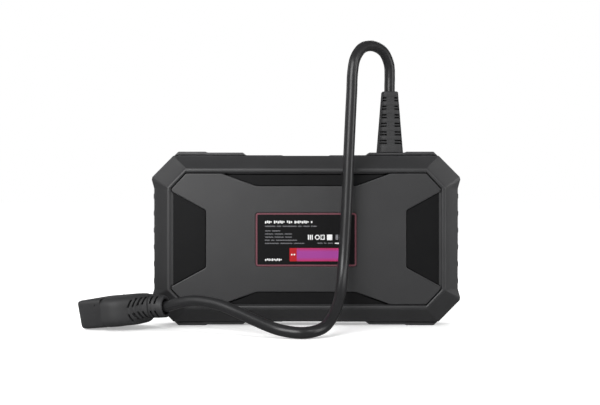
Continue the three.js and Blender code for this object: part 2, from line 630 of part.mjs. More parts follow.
function makePlug(parent) {
	const plug = new THREE.Group();
	plug.rotation.set(0, -PLUG_PITCH, -PLUG_YAW, 'ZYX');
	plug.position.copy(PLUG_NOSE);
	parent.add(plug);

	const shroud = shroudPiece(0, 0, SHROUD.length);
	const bore = shroudPiece(SHROUD.wall, -1, SHROUD.length + 1);
	node(plug, 'plug_shroud', shroud.subtract(bore), shroudPlastic);

	const slots = FILLED_PINS.map(([column, row]) => pinBox(column, row, PIN.gap, 0, FAR));
	const carrier = shroudPiece(SHROUD.wall + FIT, CARRIER.front, CARRIER.back);
	const key = block([CARRIER.front - 1, -2.4, -0.9], [CARRIER.front + 2, 2.4, 0.9]);
	node(plug, 'pin_carrier', cut(carrier, [...slots, key]), carrierPlastic);

	FILLED_PINS.forEach(([column, row], i) => {
		node(plug, `plug_pin_${i + 1}`, pinBox(column, row, 0, PIN.front, PIN.back), pinBrass);
	});

	const grip = loft([
		gripRing(SHROUD.length + FIT, 20.6, 9.1, 5),
		gripRing(19, 21.2, 9.5, 5),
		gripRing(27, 19.6, 9.6, 4.5),
		gripRing(33, 15.8, 9.4, 4),
		gripRing(36.2, 13.1, 9.3, 3.8),
		gripRing(37.7, 11.9, 9.0, 3.6),
		gripRing(38.6, 11.1, 7.9, 3.4, 0.9),
		gripRing(GRIP_END, 8.6, 7.4, 2.6, 1),
	]);
	node(plug, 'plug_grip', grip, plugMould);

	const collar = loft([
		gripRing(GRIP_END + FIT, 8.4, 7.3, 2.6, 1),
		gripRing(PLUG_LENGTH - 0.8, 7.2, 7.0, 2, 0.2),
		gripRing(PLUG_LENGTH, 6.6, 6.6, 2),
	]);
	const mouth = new THREE.CylinderGeometry(MOUTH.radius, MOUTH.radius, 2 * MOUTH.depth, 20);
	const hole = solid(mouth.rotateZ(Math.PI / 2).translate(PLUG_LENGTH, 0, 0));
	node(plug, 'plug_strain_relief', collar.subtract(hole), plugMould);
}

// ---------------------------------------------------------------- assembly

const codeReader = new THREE.Group();
const reader = new THREE.Group();
reader.position.set(0, 0, CASE_HALF_HEIGHT);
codeReader.add(reader);

makeBumper(reader);
makeRearCover(reader);
makeInserts(reader);
makeLabel(reader);
makeFrontCover(reader);
makeScreen(reader);
makeKeys(reader);
makeKeypads(reader);
makeBoard(reader);
makeScrews(reader);
makeStrainRelief(codeReader);
makeCord(codeReader);
makePlug(codeReader);

export default codeReader;
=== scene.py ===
"""A handheld OBD code reader in a rubber bumper, with its lead and its 16-way diagnostic plug.

It stands on its long bottom edge: rear cover towards -Y, screen and keys towards +Y, lead on top.
Every length is in metres; `mm` turns lists of millimetres into them.
"""
import math

import bmesh
import bpy
import numpy as np
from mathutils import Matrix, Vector
from mathutils.geometry import tessellate_polygon


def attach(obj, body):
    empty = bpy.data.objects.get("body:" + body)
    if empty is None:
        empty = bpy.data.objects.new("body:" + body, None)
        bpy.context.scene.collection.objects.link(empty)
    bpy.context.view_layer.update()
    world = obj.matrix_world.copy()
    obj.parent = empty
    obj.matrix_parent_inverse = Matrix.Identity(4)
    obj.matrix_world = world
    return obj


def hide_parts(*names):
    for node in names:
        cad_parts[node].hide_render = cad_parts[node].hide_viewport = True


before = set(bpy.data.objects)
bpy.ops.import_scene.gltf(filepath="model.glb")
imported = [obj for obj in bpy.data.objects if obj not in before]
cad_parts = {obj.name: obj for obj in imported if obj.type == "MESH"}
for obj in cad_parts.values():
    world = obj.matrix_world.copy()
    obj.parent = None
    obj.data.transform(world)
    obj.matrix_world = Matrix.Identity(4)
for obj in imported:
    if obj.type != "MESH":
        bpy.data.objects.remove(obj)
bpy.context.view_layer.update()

MM = 0.001


def mm(values):
    """A list of millimetres as an array of metres."""
    return np.array(values, float) * MM


def sizes(**lengths):
    """Named millimetres as metres."""
    return {name: length * MM for name, length in lengths.items()}


# ---------------------------------------------------------------- driving sizes

MIDDLE = 56.5 * MM  # middle of the reader above the surface
SIDE_HALF_DEPTH = 10.5 * MM
RIM_EDGE_DEPTH = 17.3 * MM
REAR_FACE = -17.4 * MM
FRONT_FACE = 17.2 * MM
FIT = 0.3 * MM

# One quarter of each outline, from the top middle round to the side, in x and z about the middle.
OUTLINE = mm([[86, 53.7], [99.6, 40], [100, 38.2], [98.4, 32.5]])
RIM_OUTER = mm([[77.3, 45.7], [89.2, 33.6], [89.6, 33.1], [89.7, 32.2]])
OPENING = mm([[77.2, 42.5], [86.5, 32.6], [86.8, 32.2], [86.8, 31.2]])
PLATE = mm([[77.0, 42.0], [86.3, 32.1]])
RIM_CUT = 0.15 * MM  # how far each corner's round reaches along its edges
BODY_CUT = 0.3 * MM
SHOULDER_SCALE = 1.035  # the bumper's inside, against its opening and against its outline
CAVITY_SCALE = 0.955

# Both covers: the wall under the bumper, the hollow inside it and the hollow's flat end.
COVER_BODY = mm([[82.6, 50.2], [95.0, 37.8]])
COVER_HOLLOW = mm([[81.6, 47.8], [92.6, 36.8]])
COVER_CEILING = mm([[77.4, 41.8], [86.2, 32.5]])
SHOULDER_DEPTH = 9.2 * MM
COVER_EDGE_DEPTH = 14.9 * MM
COVER_EDGE = 0.45 * MM
POCKET_FLOOR = -15.1 * MM

RIDGE_HEIGHTS = mm([[0, 0], [14.6, 0], [15.6, 0.5], [38.9, 0.5], [41, 2.2], [64.2, 2.2],
                    [65.2, 2.8], [83.1, 2.8], [85.7, 0]])
RIB = sizes(half=2.6, crest_half=1.3, height=0.7, pitch=11) | {"count": 6}

# The rim's lip over the inserts: how far it reaches in, and where along each edge it tapers to nothing.
LIP_REACH = sizes(side=1.5, long=0.8)
LIP_ENDS = {"side": mm([29.8, 31.0]), "long": mm([53.6, 55.0])}

CORD_RADIUS = 3.5 * MM
CORD_SIDES = 24
PLUG_YAW = math.radians(20)
PLUG_PITCH = math.radians(6)
PLUG_NOSE = mm([-135.8, -14.8, 9.3])

# ---------------------------------------------------------------- nodes and colours


def linear(code):
    """An sRGB hex colour as linear red, green, blue and alpha."""
    channels = [int(code[i:i + 2], 16) / 255 for i in (1, 3, 5)]
    return [c / 12.92 if c <= 0.04045 else ((c + 0.055) / 1.055) ** 2.4 for c in channels] + [1]


def add(material, kind, inputs=None, **settings):
    """Adds a shader node with its settings; each input is a plain value or the socket that feeds it."""
    made = material.node_tree.nodes.new(f"ShaderNode{kind}")
    for name, value in settings.items():
        setattr(made, name, value)
    for name, value in (inputs or {}).items():
        if isinstance(value, bpy.types.NodeSocket):
            material.node_tree.links.new(value, made.inputs[name])
        else:
            made.inputs[name].default_value = value
    return made


def finish_named(name, **surface):
    """A new material and its shader, whose uniform values are set on its own sockets."""
    material = bpy.data.materials.new(name)
    material.use_nodes = True
    shader = material.node_tree.nodes["Principled BSDF"]
    for socket, value in surface.items():
        shader.inputs[socket.replace("_", " ")].default_value = value
    return material, shader


def feed(shader, **outputs):
    """Links the given outputs to the shader's sockets of these names."""
    for socket, output in outputs.items():
        shader.id_data.links.new(output, shader.inputs[socket.replace("_", " ")])


def mixed(material, factor, first, second):
    """The colour output of a mix of two colours, each a hex code or a socket."""
    node = add(material, "Mix", {"Factor": factor}, data_type="RGBA")
    for index, colour in ((6, first), (7, second)):
        if isinstance(colour, str):
            node.inputs[index].default_value = linear(colour)
        else:
            material.node_tree.links.new(colour, node.inputs[index])
    return node.outputs[2]


def textured(material, shader, pattern, roughness, bump, distance, height=None):
    """Roughness from its first to its second value as the pattern goes from 0.3 to 0.7, and bump."""
    gloss = add(material, "MapRange", {
        "Value": pattern, "From Min": 0.3, "From Max": 0.7, "To Min": roughness[0], "To Max": roughness[1]})
    relief = add(material, "Bump", {"Height": height or pattern, "Strength": bump, "Distance": distance})
    feed(shader, Roughness=gloss.outputs[0], Normal=relief.outputs[0])


def skinned(material, shader, grain, roughness, bump, height=None):
    """Roughness and bump from one fractal noise at the size of the surface's grain, in metres."""
    place = add(material, "TexCoord").outputs["Object"]
    skin = add(material, "TexNoise", {"Vector": place, "Scale": 1 / grain, "Detail": 4})
    spread = (roughness - 0.05, roughness + 0.07)
    textured(material, shader, skin.outputs["Fac"], spread, bump, 0.1 * MM, height)
    return place


def moulded(name, dark, light, worn_colour, grain, roughness, bump=0.25, drift_size=18 * MM, **surface):
    """A moulded polymer: colour drifts slowly between two close tones over `drift_size` and pales along
    the worn edges, where the "wear" attribute says; the skin's grain gives roughness and bump."""
    material, shader = finish_named(name, **surface)
    place = skinned(material, shader, grain, roughness, bump)
    drift = add(material, "TexNoise", {"Vector": place, "Scale": 1 / drift_size, "Detail": 3})
    worn = add(material, "Attribute", attribute_name="wear")
    scuffed = add(material, "Math", {0: worn.outputs["Fac"], 1: drift.outputs["Fac"]},
                  operation="MULTIPLY")
    tone = mixed(material, drift.outputs["Fac"], dark, light)
    feed(shader, Base_Color=mixed(material, scuffed.outputs[0], tone, worn_colour))
    return material


def extruded_pvc():
    """The lead's jacket, drawn through a die: a satin black skin with long faint draw lines, on the
    lead's own straightened places, so that the lights run along it in soft streaks."""
    material, shader = finish_named("extruded_pvc", Specular_IOR_Level=0.36)
    laid = add(material, "Attribute", attribute_name="straight").outputs["Vector"]
    # Draw lines are about 0.1 mm apart; drawn at 0.6 mm so that they show, and 60 mm long.
    stretched = add(material, "Mapping", {
        "Vector": laid, "Scale": (1 / 0.6e-3, 1 / 0.6e-3, 1 / 60e-3)})
    lines = add(material, "TexNoise", {"Vector": stretched.outputs[0], "Scale": 1.0, "Detail": 2})
    drift = add(material, "TexNoise", {"Vector": laid, "Scale": 1 / 0.025, "Detail": 2})
    feed(shader, Base_Color=mixed(material, drift.outputs["Fac"], "#1b1b1c", "#212122"))
    textured(material, shader, lines.outputs["Fac"], (0.27, 0.37), 0.2, 0.05 * MM)
    return material


def screen_printed(name, colour, thin_colour):
    """Ink screen printed on film: flat and matt, a little thinner in patches about 2 mm across."""
    material, shader = finish_named(f"screen_printed_{name}", Specular_IOR_Level=0.15)
    # The mesh marks are about 0.1 mm; drawn at 0.4 mm so that they show.
    place = skinned(material, shader, 0.4 * MM, 0.5, 0.08)
    density = add(material, "TexNoise", {"Vector": place, "Scale": 1 / 0.002, "Detail": 2})
    feed(shader, Base_Color=mixed(material, density.outputs["Fac"], colour, thin_colour))
    return material


def graded_ink(low, high):
    """The printed bar: violet in the middle, shading to crimson at its upper and lower edges.

    The share of crimson is the distance from the bar's middle height over half of that height, from
    0.45 to 1.
    """
    material, shader = finish_named("graded_print", Specular_IOR_Level=0.15)
    place = skinned(material, shader, 0.4 * MM, 0.5, 0.08)
    height = add(material, "SeparateXYZ", {"Vector": place}).outputs["Z"]
    middle, half = (low + high) / 2, (high - low) / 2
    away = add(material, "Math", {0: height, 1: middle}, operation="SUBTRACT")
    distance = add(material, "Math", {0: away.outputs[0]}, operation="ABSOLUTE")
    share = add(material, "MapRange", {
        "Value": distance.outputs[0], "From Min": 0.45 * half, "From Max": half, "To Max": 0.85})
    feed(shader, Base_Color=mixed(material, share.outputs[0], "#84337a", "#9c1f3c"))
    return material


def cover_glass():
    """Toughened glass, polished, bonded over an unlit panel: the two read as one deep black gloss, with
    faint finger haze, patches about 30 mm across, in the gloss and the tone."""
    material, shader = finish_named("toughened_glass", IOR=1.52)
    place = add(material, "TexCoord").outputs["Object"]
    haze = add(material, "TexNoise", {"Vector": place, "Scale": 1 / 0.03, "Detail": 4})
    feed(shader, Base_Color=mixed(material, haze.outputs["Fac"], "#090a0d", "#101117"))
    gloss = add(material, "MapRange", {
        "Value": haze.outputs["Fac"], "From Min": 0.4, "From Max": 0.75, "To Min": 0.015, "To Max": 0.09})
    feed(shader, Roughness=gloss.outputs[0])
    return material


def unlit_panel():
    """A liquid crystal panel switched off: nearly black, a violet cast in its polariser, and a grid of
    cells. The cells are 0.13 mm; drawn at 0.5 mm so that they show."""
    material, shader = finish_named("lcd_panel", Coat_Weight=0.6, Coat_Roughness=0.08)
    place = add(material, "TexCoord").outputs["Object"]
    cells = add(material, "TexChecker", {"Vector": place, "Scale": 1 / 0.5e-3})
    tint = add(material, "TexNoise", {"Vector": place, "Scale": 1 / 0.04, "Detail": 2})
    base = mixed(material, tint.outputs["Fac"], "#0b0c10", "#12121a")
    fleck = add(material, "Math", {0: cells.outputs["Fac"], 1: 0.25}, operation="MULTIPLY")
    feed(shader, Base_Color=mixed(material, fleck.outputs[0], base, "#1b1c24"))
    gloss = add(material, "MapRange", {"Value": tint.outputs["Fac"], "To Min": 0.28, "To Max": 0.4})
    feed(shader, Roughness=gloss.outputs[0])
    return material


def foamed():
    """Skived closed-cell foam, matt black: cells about 0.3 mm across, drawn at 0.5 mm, with painted shade
    where they sink.
    """
    material, shader = finish_named("closed_cell_foam", Specular_IOR_Level=0.2)
    place = add(material, "TexCoord").outputs["Object"]
    cells = add(material, "TexVoronoi", {"Vector": place, "Scale": 1 / 0.5e-3})
    skinned(material, shader, 0.5 * MM, 0.85, 0.5, cells.outputs["Distance"])
    # Painted shade: the colour follows the cells' distance, as the bump does, and is darkest where each cell
    # sinks towards its middle.
    feed(shader, Base_Color=mixed(material, cells.outputs["Distance"], "#0c0c0c", "#1c1c1d"))
    return material


def worked_metal(name, bright, dull, grain, stretch, roughness):
    """A metal surface: tone and gloss from noise that is stretched along the way it was worked."""
    material, shader = finish_named(name, Metallic=1.0)
    place = add(material, "TexCoord").outputs["Object"]
    laid = add(material, "Mapping", {"Vector": place, "Scale": stretch})
    marks = add(material, "TexNoise", {"Vector": laid.outputs[0], "Scale": 1 / grain, "Detail": 3})
    feed(shader, Base_Color=mixed(material, marks.outputs["Fac"], dull, bright))
    spread = (roughness - 0.06, roughness + 0.1)
    textured(material, shader, marks.outputs["Fac"], spread, 0.15, 0.04 * MM)
    return material


def solder_masked():
    """Glass-epoxy laminate under green mask: copper runs show through as paler straight bands.

    A brick pattern 3 mm by 1.2 mm stands for the runs, and noise breaks it up.
    """
    material, shader = finish_named("solder_masked_laminate", Coat_Weight=0.3, Coat_Roughness=0.2)
    place = skinned(material, shader, 1.2 * MM, 0.4, 0.15)
    turned = add(material, "Mapping", {"Vector": place, "Rotation": (math.radians(90), 0, 0)})
    runs = add(material, "TexBrick", {
        "Vector": turned.outputs[0], "Scale": 1 / 0.006, "Mortar Size": 0.04,
        "Brick Width": 0.5, "Row Height": 0.2})
    patches = add(material, "TexNoise", {"Vector": place, "Scale": 1 / 0.012, "Detail": 2})
    shown = add(material, "Math", {0: runs.outputs["Fac"], 1: patches.outputs["Fac"]},
                operation="MULTIPLY")
    feed(shader, Base_Color=mixed(material, shown.outputs[0], "#123f25", "#3c8a56"))
    return material


# ---------------------------------------------------------------- outlines and shells


def rounded(corners, cut, steps=4):
    """A closed outline with parabolas for corners.

    Each starts and ends `cut` away from its corner and bends towards it: a blend of start, corner and
    end with weights (1-t)^2, 2t(1-t) and t^2.
    """
    corners = np.asarray(corners, float)
    cut = np.broadcast_to(cut, len(corners))[:, None]
    before = np.roll(corners, 1, 0) - corners
    after = np.roll(corners, -1, 0) - corners
    start = corners + cut * before / np.linalg.norm(before, axis=1)[:, None]
    end = corners + cut * after / np.linalg.norm(after, axis=1)[:, None]
    t = np.linspace(0, 1, steps + 1)[None, :, None]
    arcs = (1 - t) ** 2 * start[:, None] + 2 * t * (1 - t) * corners[:, None] + t ** 2 * end[:, None]
    return arcs.reshape(-1, 2)


def rectangle(width, height, radius, x=0.0, z=0.0, steps=6):
    """A rectangle with quarter-circle corners: each corner's centre plus radius times (cos, sin)."""
    turn = np.linspace(0, math.pi / 2, steps + 1)
    arcs = []
    for quarter, (side, up) in enumerate([(1, 1), (1, -1), (-1, -1), (-1, 1)]):
        angle = math.pi / 2 - quarter * math.pi / 2 - turn
        centre = np.array([x + side * (width / 2 - radius), z + up * (height / 2 - radius)])
        arcs.append(centre + radius * np.stack([np.cos(angle), np.sin(angle)], axis=1))
    return np.concatenate(arcs)


def mirrored(quarter):
    """A whole closed outline from one quarter of it, going round clockwise."""
    back = quarter[::-1]
    return np.concatenate([quarter, back * [1, -1], quarter * [-1, -1], back * [-1, 1]])


def offset(outline, distance):
    """The clockwise outline moved outwards: each point goes along the mitre of its two edges."""
    edges = np.roll(outline, -1, 0) - outline
    normals = np.stack([-edges[:, 1], edges[:, 0]], axis=1) / np.linalg.norm(edges, axis=1)[:, None]
    before = np.roll(normals, 1, 0)
    share = 1 + (normals * before).sum(axis=1)
    return outline + distance * (normals + before) / share[:, None]


def at_depth(outline, y):
    """Points at depth y from an outline in x and z about the middle of the reader."""
    return np.stack([outline[:, 0], np.full(len(outline), y), outline[:, 1] + MIDDLE], axis=1)


class Shell:
    """Gathers the rings, bands and caps of closed surfaces, and how worn each ring is."""

    def __init__(self):
        self.points = np.empty((0, 3))
        self.wear = np.empty(0)
        self.faces = []
        self.finishes = []

    def ring(self, points, wear=0.0):
        start = len(self.points)
        self.points = np.vstack([self.points, points])
        self.wear = np.append(self.wear, np.broadcast_to(wear, len(points)))
        return np.arange(start, len(self.points))

    def rings(self, stages, place=at_depth):
        """A ring for each (outline, depth) or (outline, depth, wear)."""
        return [self.ring(place(outline, depth), *wear) for outline, depth, *wear in stages]

    def keep(self, faces, finish):
        self.faces += faces
        self.finishes += [finish] * len(faces)

    def band(self, first, second, finish=0):
        quads = np.stack([first, np.roll(first, -1), np.roll(second, -1), second], axis=1)
        self.keep(quads.tolist(), finish)

    def bands(self, rings, finish=0):
        for first, second in zip(rings, rings[1:]):
            self.band(first, second, finish)

    def cap(self, outer, *holes, finish=0):
        """A flat face inside the first ring and outside the others."""
        loops = [outer, *holes]
        drawn = [[Vector(point) for point in self.points[loop]] for loop in loops]
        triangles = np.concatenate(loops)[np.array(tessellate_polygon(drawn))]
        self.keep(triangles.tolist(), finish)

    def tube(self, rings):
        """Bands from ring to ring, with a cap on either end."""
        self.bands(rings)
        self.cap(rings[0])
        self.cap(rings[-1])

    def pole(self, ring, point, finish=0):
        """A fan from a ring to one point."""
        tip = self.ring([point])[0]
        fan = np.stack([ring, np.roll(ring, -1), np.full(len(ring), tip)], axis=1)
        self.keep(fan.tolist(), finish)


def shown(name, data):
    """A new object in the scene."""
    made = bpy.data.objects.new(name, data)
    bpy.context.scene.collection.objects.link(made)
    return made


def piece(name, shell, materials, replaces=(), body="reader", crease=32):
    """Makes the shell a mesh object with its faces outwards, and hands it to the frame."""
    mesh = bpy.data.meshes.new(name)
    mesh.from_pydata(shell.points.tolist(), [], shell.faces)
    for material in materials if isinstance(materials, (list, tuple)) else [materials]:
        mesh.materials.append(material)
    mesh.polygons.foreach_set("material_index", shell.finishes)
    wear = mesh.attributes.new("wear", "FLOAT", "POINT")
    wear.data.foreach_set("value", shell.wear.astype(np.float32))
    work = bmesh.new()
    work.from_mesh(mesh)
    bmesh.ops.recalc_face_normals(work, faces=work.faces)
    work.to_mesh(mesh)
    work.free()
    mesh.shade_smooth()
    mesh.set_sharp_from_angle(angle=math.radians(crease))
    made = shown(name, mesh)
    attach(made, body)
    if replaces:
        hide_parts(*replaces)
    return made


def quarter_round(edge, steps=4):
    """Insets and drops of a rounded edge: edge times (1 - sin) and edge times (1 - cos), 0 to 90 degrees."""
    turn = np.linspace(0, math.pi / 2, steps + 1)
    return edge * (1 - np.sin(turn)), edge * (1 - np.cos(turn))


SUPPORT = 0.35 * MM  # flat margin that keeps a face's shading off its rounded edge
EDGE_WEAR = np.array([0.0, 0.35, 0.9, 0.35, 0.0])


def rim_rings(shell, outline, face, towards, edge, sign=1, wear=1.0, place=at_depth):
    """Rings over a rounded edge, from the flat face round to the wall; sign is -1 for a hole."""
    insets, drops = quarter_round(edge)
    margin = min(SUPPORT, 4 * edge)
    rings = [shell.ring(place(offset(outline, -sign * (edge + margin)), face))]
    for inset, drop, share in zip(insets, drops, EDGE_WEAR):
        points = place(offset(outline, -sign * inset), face + towards * drop)
        rings.append(shell.ring(points, wear * share))
    return rings


def edged(shell, outline, face, back, edge, sign=1, finish=0, wear=1.0, place=at_depth):
    """The rings of a rounded edge and of the straight wall behind it, with the bands between them."""
    rings = rim_rings(shell, outline, face, math.copysign(1, back - face), edge, sign, wear, place)
    rings.append(shell.ring(place(outline, back)))
    shell.bands(rings, finish)
    return rings


def slab(shell, outline, face, back, edge, holes=(), finish=0, wear=1.0, place=at_depth):
    """A flat piece: a face with rounded edges, straight walls and a flat back, with holes right through."""
    walls = [edged(shell, outline, face, back, edge, 1, finish, wear, place)]
    walls += [edged(shell, hole, face, back, edge, -1, finish, wear, place) for hole in holes]
    for end in (0, -1):
        shell.cap(*(rings[end] for rings in walls), finish=finish)
    return shell


# ---------------------------------------------------------------- the rubber bumper


def edge_places():
    """Where the bumper's points lie along its long edges and its sides, as shares of half of each.

    Points crowd round each break of the ridges and ribs, so that the breaks come out as small rounds.
    """
    near = 0.35 * MM * np.array([-2, -1, 0, 1, 2])
    breaks = RIDGE_HEIGHTS[1:-1, 0]
    even = np.concatenate([mm([0, 7, 27]), LIP_ENDS["long"]])
    long_edge = np.unique(np.concatenate([even, (breaks[:, None] + near).ravel()]))
    centres = (np.arange(RIB["count"] / 2) + 0.5) * RIB["pitch"]
    feet = np.array([-RIB["half"], -RIB["crest_half"], RIB["crest_half"], RIB["half"]])
    rib_breaks = (centres[:, None] + feet).ravel()
    side_near = 0.3 * MM * np.array([-1, 0, 1])
    side = np.unique(np.concatenate([[0], LIP_ENDS["side"], (rib_breaks[:, None] + side_near).ravel()]))
    return long_edge / OUTLINE[0, 0], side / OUTLINE[-1, 1]


def whole_outline(quarter, cut):
    """The bumper's closed outline with the same points at every depth.

    Corners are parabolas; between them the long edges and the sides carry their crowded points, and the
    short runs of the corners a few even ones.
    """
    corners = mirrored(quarter)
    arcs = rounded(corners, cut, 4).reshape(len(corners), 5, 2)
    long_edge, side = edge_places()
    long_shares = (np.concatenate([-long_edge[:0:-1], long_edge]) + 1) / 2
    side_shares = (np.concatenate([-side[:0:-1], side]) + 1) / 2
    few = np.linspace(0, 1, 8)[1:-1]
    plain = [few, [0.5], [0.4], side_shares, [0.6], [0.5], few, long_shares]
    runs = []
    for i, corner in enumerate(corners):
        following = corners[(i + 1) % len(corners)]
        shares = np.array(plain[i % 8])[:, None]
        runs += [arcs[i], corner + shares * (following - corner)]
    return np.concatenate(runs)


def softened(heights, at, spread):
    """Heights from straight runs between breaks, averaged over +-spread so that the breaks are round."""
    shifts = np.linspace(-spread, spread, 7)
    return np.mean([np.interp(at + shift, heights[:, 0], heights[:, 1]) for shift in shifts], axis=0)


def with_ridges(outline, share):
    """The outline with its stepped ridges pushed out along z and its ribs along x, by a share of 0 to 1."""
    x, z = outline.T
    on_edge = (np.abs(z) > OUTLINE[0, 1] - 0.1 * MM) & (np.abs(x) < RIDGE_HEIGHTS[-1, 0] + 0.5 * MM)
    rise = softened(RIDGE_HEIGHTS, np.abs(x), 0.45 * MM) * on_edge * share
    centres = (np.arange(RIB["count"]) - (RIB["count"] - 1) / 2) * RIB["pitch"]
    away = np.abs(z[:, None] - centres).min(axis=1)
    rib = np.array([[0, 1], [RIB["crest_half"], 1], [RIB["half"], 0]]) * [1, RIB["height"]]
    on_side = (np.abs(x) > OUTLINE[-1, 0] - 0.1 * MM) & (np.abs(z) < OUTLINE[-1, 1] - 1 * MM)
    push = softened(rib, away, 0.25 * MM) * on_side * share
    return np.stack([x + np.sign(x) * push, z + np.sign(z) * rise], axis=1)


def lip_outline(opening):
    """The opening drawn in over the inserts, and left alone along the corners and the plate's arms."""
    x, z = opening.T
    by_side = np.interp(np.abs(z), LIP_ENDS["side"], [1, 0]) * (np.abs(x) > OPENING[-1, 0] - 0.1 * MM)
    by_edge = np.interp(np.abs(x), LIP_ENDS["long"], [1, 0]) * (np.abs(z) > OPENING[0, 1] - 0.1 * MM)
    reach_x = LIP_REACH["side"] * by_side * np.sign(x)
    reach_z = LIP_REACH["long"] * by_edge * np.sign(z)
    return np.stack([x - reach_x, z - reach_z], axis=1)


def bumper_half(lipped):
    """(outline, depth, wear) of the bumper's section from the opening, over the rim, to mid-side.

    Only the rear half is lipped, where the inserts lie under the rim.
    """
    rim = [(0.0, 17.3, 0), (0.05, 17.55, 0), (0.13, 17.8, 0.05), (0.26, 17.95, 0.1), (0.42, 18.0, 0.1),
           (0.6, 17.98, 0.1), (0.78, 17.82, 0.1), (0.9, 17.6, 0.05), (1.0, 17.35, 0)]
    inner = whole_outline(OPENING, RIM_CUT)
    outer = whole_outline(RIM_OUTER, RIM_CUT)
    lip = lip_outline(inner) if lipped else inner
    stations = [(inner, 15.1 * MM, 0), (inner, 16.22 * MM, 0), (lip, 16.26 * MM, 0), (lip, 16.34 * MM, 0),
                (lip + 0.4 * (inner - lip), 16.75 * MM, 0)]
    stations += [(inner + share * (outer - inner), depth * MM, wear) for share, depth, wear in rim]
    body = whole_outline(OUTLINE, BODY_CUT)
    for share, wear in [(0.04, 0.0), (0.5, 0.0), (0.93, 0.1), (0.975, 0.6)]:
        depth = RIM_EDGE_DEPTH + share * (SIDE_HALF_DEPTH - RIM_EDGE_DEPTH)
        stations.append((outer + share * (body - outer), depth, wear))
    side = [(10.3, 0, 0.8), (10.0, 0, 0.2), (7.4, 0, 0), (6.6, 0.02, 0), (6.6, 0.2, 0), (7.6, 0.25, 0),
            (7.98, 0.31, 0.2), (8.0, 0.45, 0.4), (7.95, 0.88, 0.9), (7.6, 1, 0.5), (7.0, 1, 0),
            (3.5, 1, 0), (0.0, 1, 0)]
    stations += [(with_ridges(body, share), depth * MM, wear) for depth, share, wear in side]
    return stations


def make_bumper(rubber):
    """The boot: its section is carried round the outline, over the rims, down the bevels and along the
    ridged side, and back inside, as one closed ring."""
    shell = Shell()
    rear_half = bumper_half(True)
    front_half = bumper_half(False)[-2::-1]
    rear = shell.rings([(outline, -depth, wear) for outline, depth, wear in rear_half])
    front = shell.rings(front_half)
    shoulder = whole_outline(OPENING, RIM_CUT) * SHOULDER_SCALE
    cavity = whole_outline(OUTLINE, BODY_CUT) * CAVITY_SCALE
    back = shell.rings([(shoulder, -POCKET_FLOOR), (cavity, SHOULDER_DEPTH),
                        (cavity, -SHOULDER_DEPTH), (shoulder, POCKET_FLOOR)])
    shell.bands([*rear, *front, *back, rear[0]])
    return piece("bumper_boot_moulded", shell, rubber, ["bumper_boot"], crease=28)


# ---------------------------------------------------------------- rear cover, inserts and label

SIDE_POCKET = sizes(inner=64.2, half=18.4, outer=86.3) | {"spread": 0.5475}
TOP_POCKET = sizes(inner=33.9, half=31.9, outer=42) | {"spread": 2.778}
REAR_CEILING = -13.2 * MM
INSERT_FACE = -16.2 * MM
LABEL = sizes(width=64.8, height=34.4, radius=1.7, z=-0.4, face=-17.32, floor=-16.8)


PRINT_LEFT = -26.3  # where the lines of print start, in millimetres from the label's middle
PRINT_EDGE = 0.01 * MM
PRINTED_BAR = (-14.3, -5.8)  # lower and upper edge of the label's coloured bar, in millimetres


def trapezium(pocket, gap=0.0):
    """Inner and outer (distance, half width) of a pocket, or of the insert that leaves a gap in it."""
    shrink = gap * math.hypot(1, pocket["spread"])
    ends = []
    for out in (pocket["inner"] + gap, pocket["outer"] - gap):
        ends.append((out, pocket["half"] + pocket["spread"] * (out - pocket["inner"]) - shrink))
    return ends


def plateau_outline():
    """The rear face between the four pockets: one quarter's corners, mirrored, with small rounds."""
    (side_in, side_half), (side_out, side_out_half) = trapezium(SIDE_POCKET)
    (top_in, top_half), (top_out, top_out_half) = trapezium(TOP_POCKET)
    quarter = np.array([[top_half, top_in], [top_out_half, top_out], PLATE[0], PLATE[1],
                        [side_out, side_out_half], [side_in, side_half]])
    cuts = np.tile(mm([1.6, 0.25, 0.5, 0.5, 0.25, 1.2]), 2)
    cuts = np.concatenate([cuts[:6], cuts[:6][::-1]] * 2)
    return rounded(mirrored(quarter), cuts)


def make_rear_cover(plastic):
    """The rear cover: a plateau with rounded edges, the pocket floor round it, the shoulder and wall that
    the bumper hides, and the hollow inside."""
    shell = Shell()
    plateau = plateau_outline()
    rim = edged(shell, plateau, REAR_FACE, POCKET_FLOOR, COVER_EDGE)
    recess = offset(rectangle(LABEL["width"], LABEL["height"], LABEL["radius"], 0, LABEL["z"]), FIT)
    sunk = edged(shell, recess, REAR_FACE, LABEL["floor"], 0.15 * MM, -1)
    shell.cap(rim[0], sunk[0])
    shell.cap(sunk[-1])
    edge = offset(mirrored(PLATE), 0.2 * MM)
    body, hollow, ceiling = map(mirrored, (COVER_BODY, COVER_HOLLOW, COVER_CEILING))
    walls = shell.rings([
        (edge, POCKET_FLOOR), (edge, -COVER_EDGE_DEPTH), (body, -SHOULDER_DEPTH), (body, -FIT / 2),
        (hollow, -FIT / 2), (hollow, -SHOULDER_DEPTH), (ceiling, REAR_CEILING)])
    shell.bands(walls)
    shell.cap(walls[0], rim[-1])
    shell.cap(walls[-1])
    return piece("rear_cover_moulded", shell, plastic, ["rear_cover"])


def make_inserts(plastic):
    """Four dark trapezium panels, each with rounded corners and edges."""
    (side_in, side_half), (side_out, side_out_half) = trapezium(SIDE_POCKET, 0.2 * MM)
    (top_in, top_half), (top_out, top_out_half) = trapezium(TOP_POCKET, 0.2 * MM)
    right = np.array([[side_in, side_half], [side_out, side_out_half],
                      [side_out, -side_out_half], [side_in, -side_half]])
    top = np.array([[-top_out_half, top_out], [top_out_half, top_out],
                    [top_half, top_in], [-top_half, top_in]])
    places = {"right": right, "left": -right, "top": top, "bottom": -top}
    for place, corners in places.items():
        shell = slab(Shell(), rounded(corners, 1.1 * MM), INSERT_FACE, POCKET_FLOOR - 0.1 * MM, 0.3 * MM)
        name = f"rear_insert_{place}"
        piece(f"{name}_panel", shell, plastic, [name])


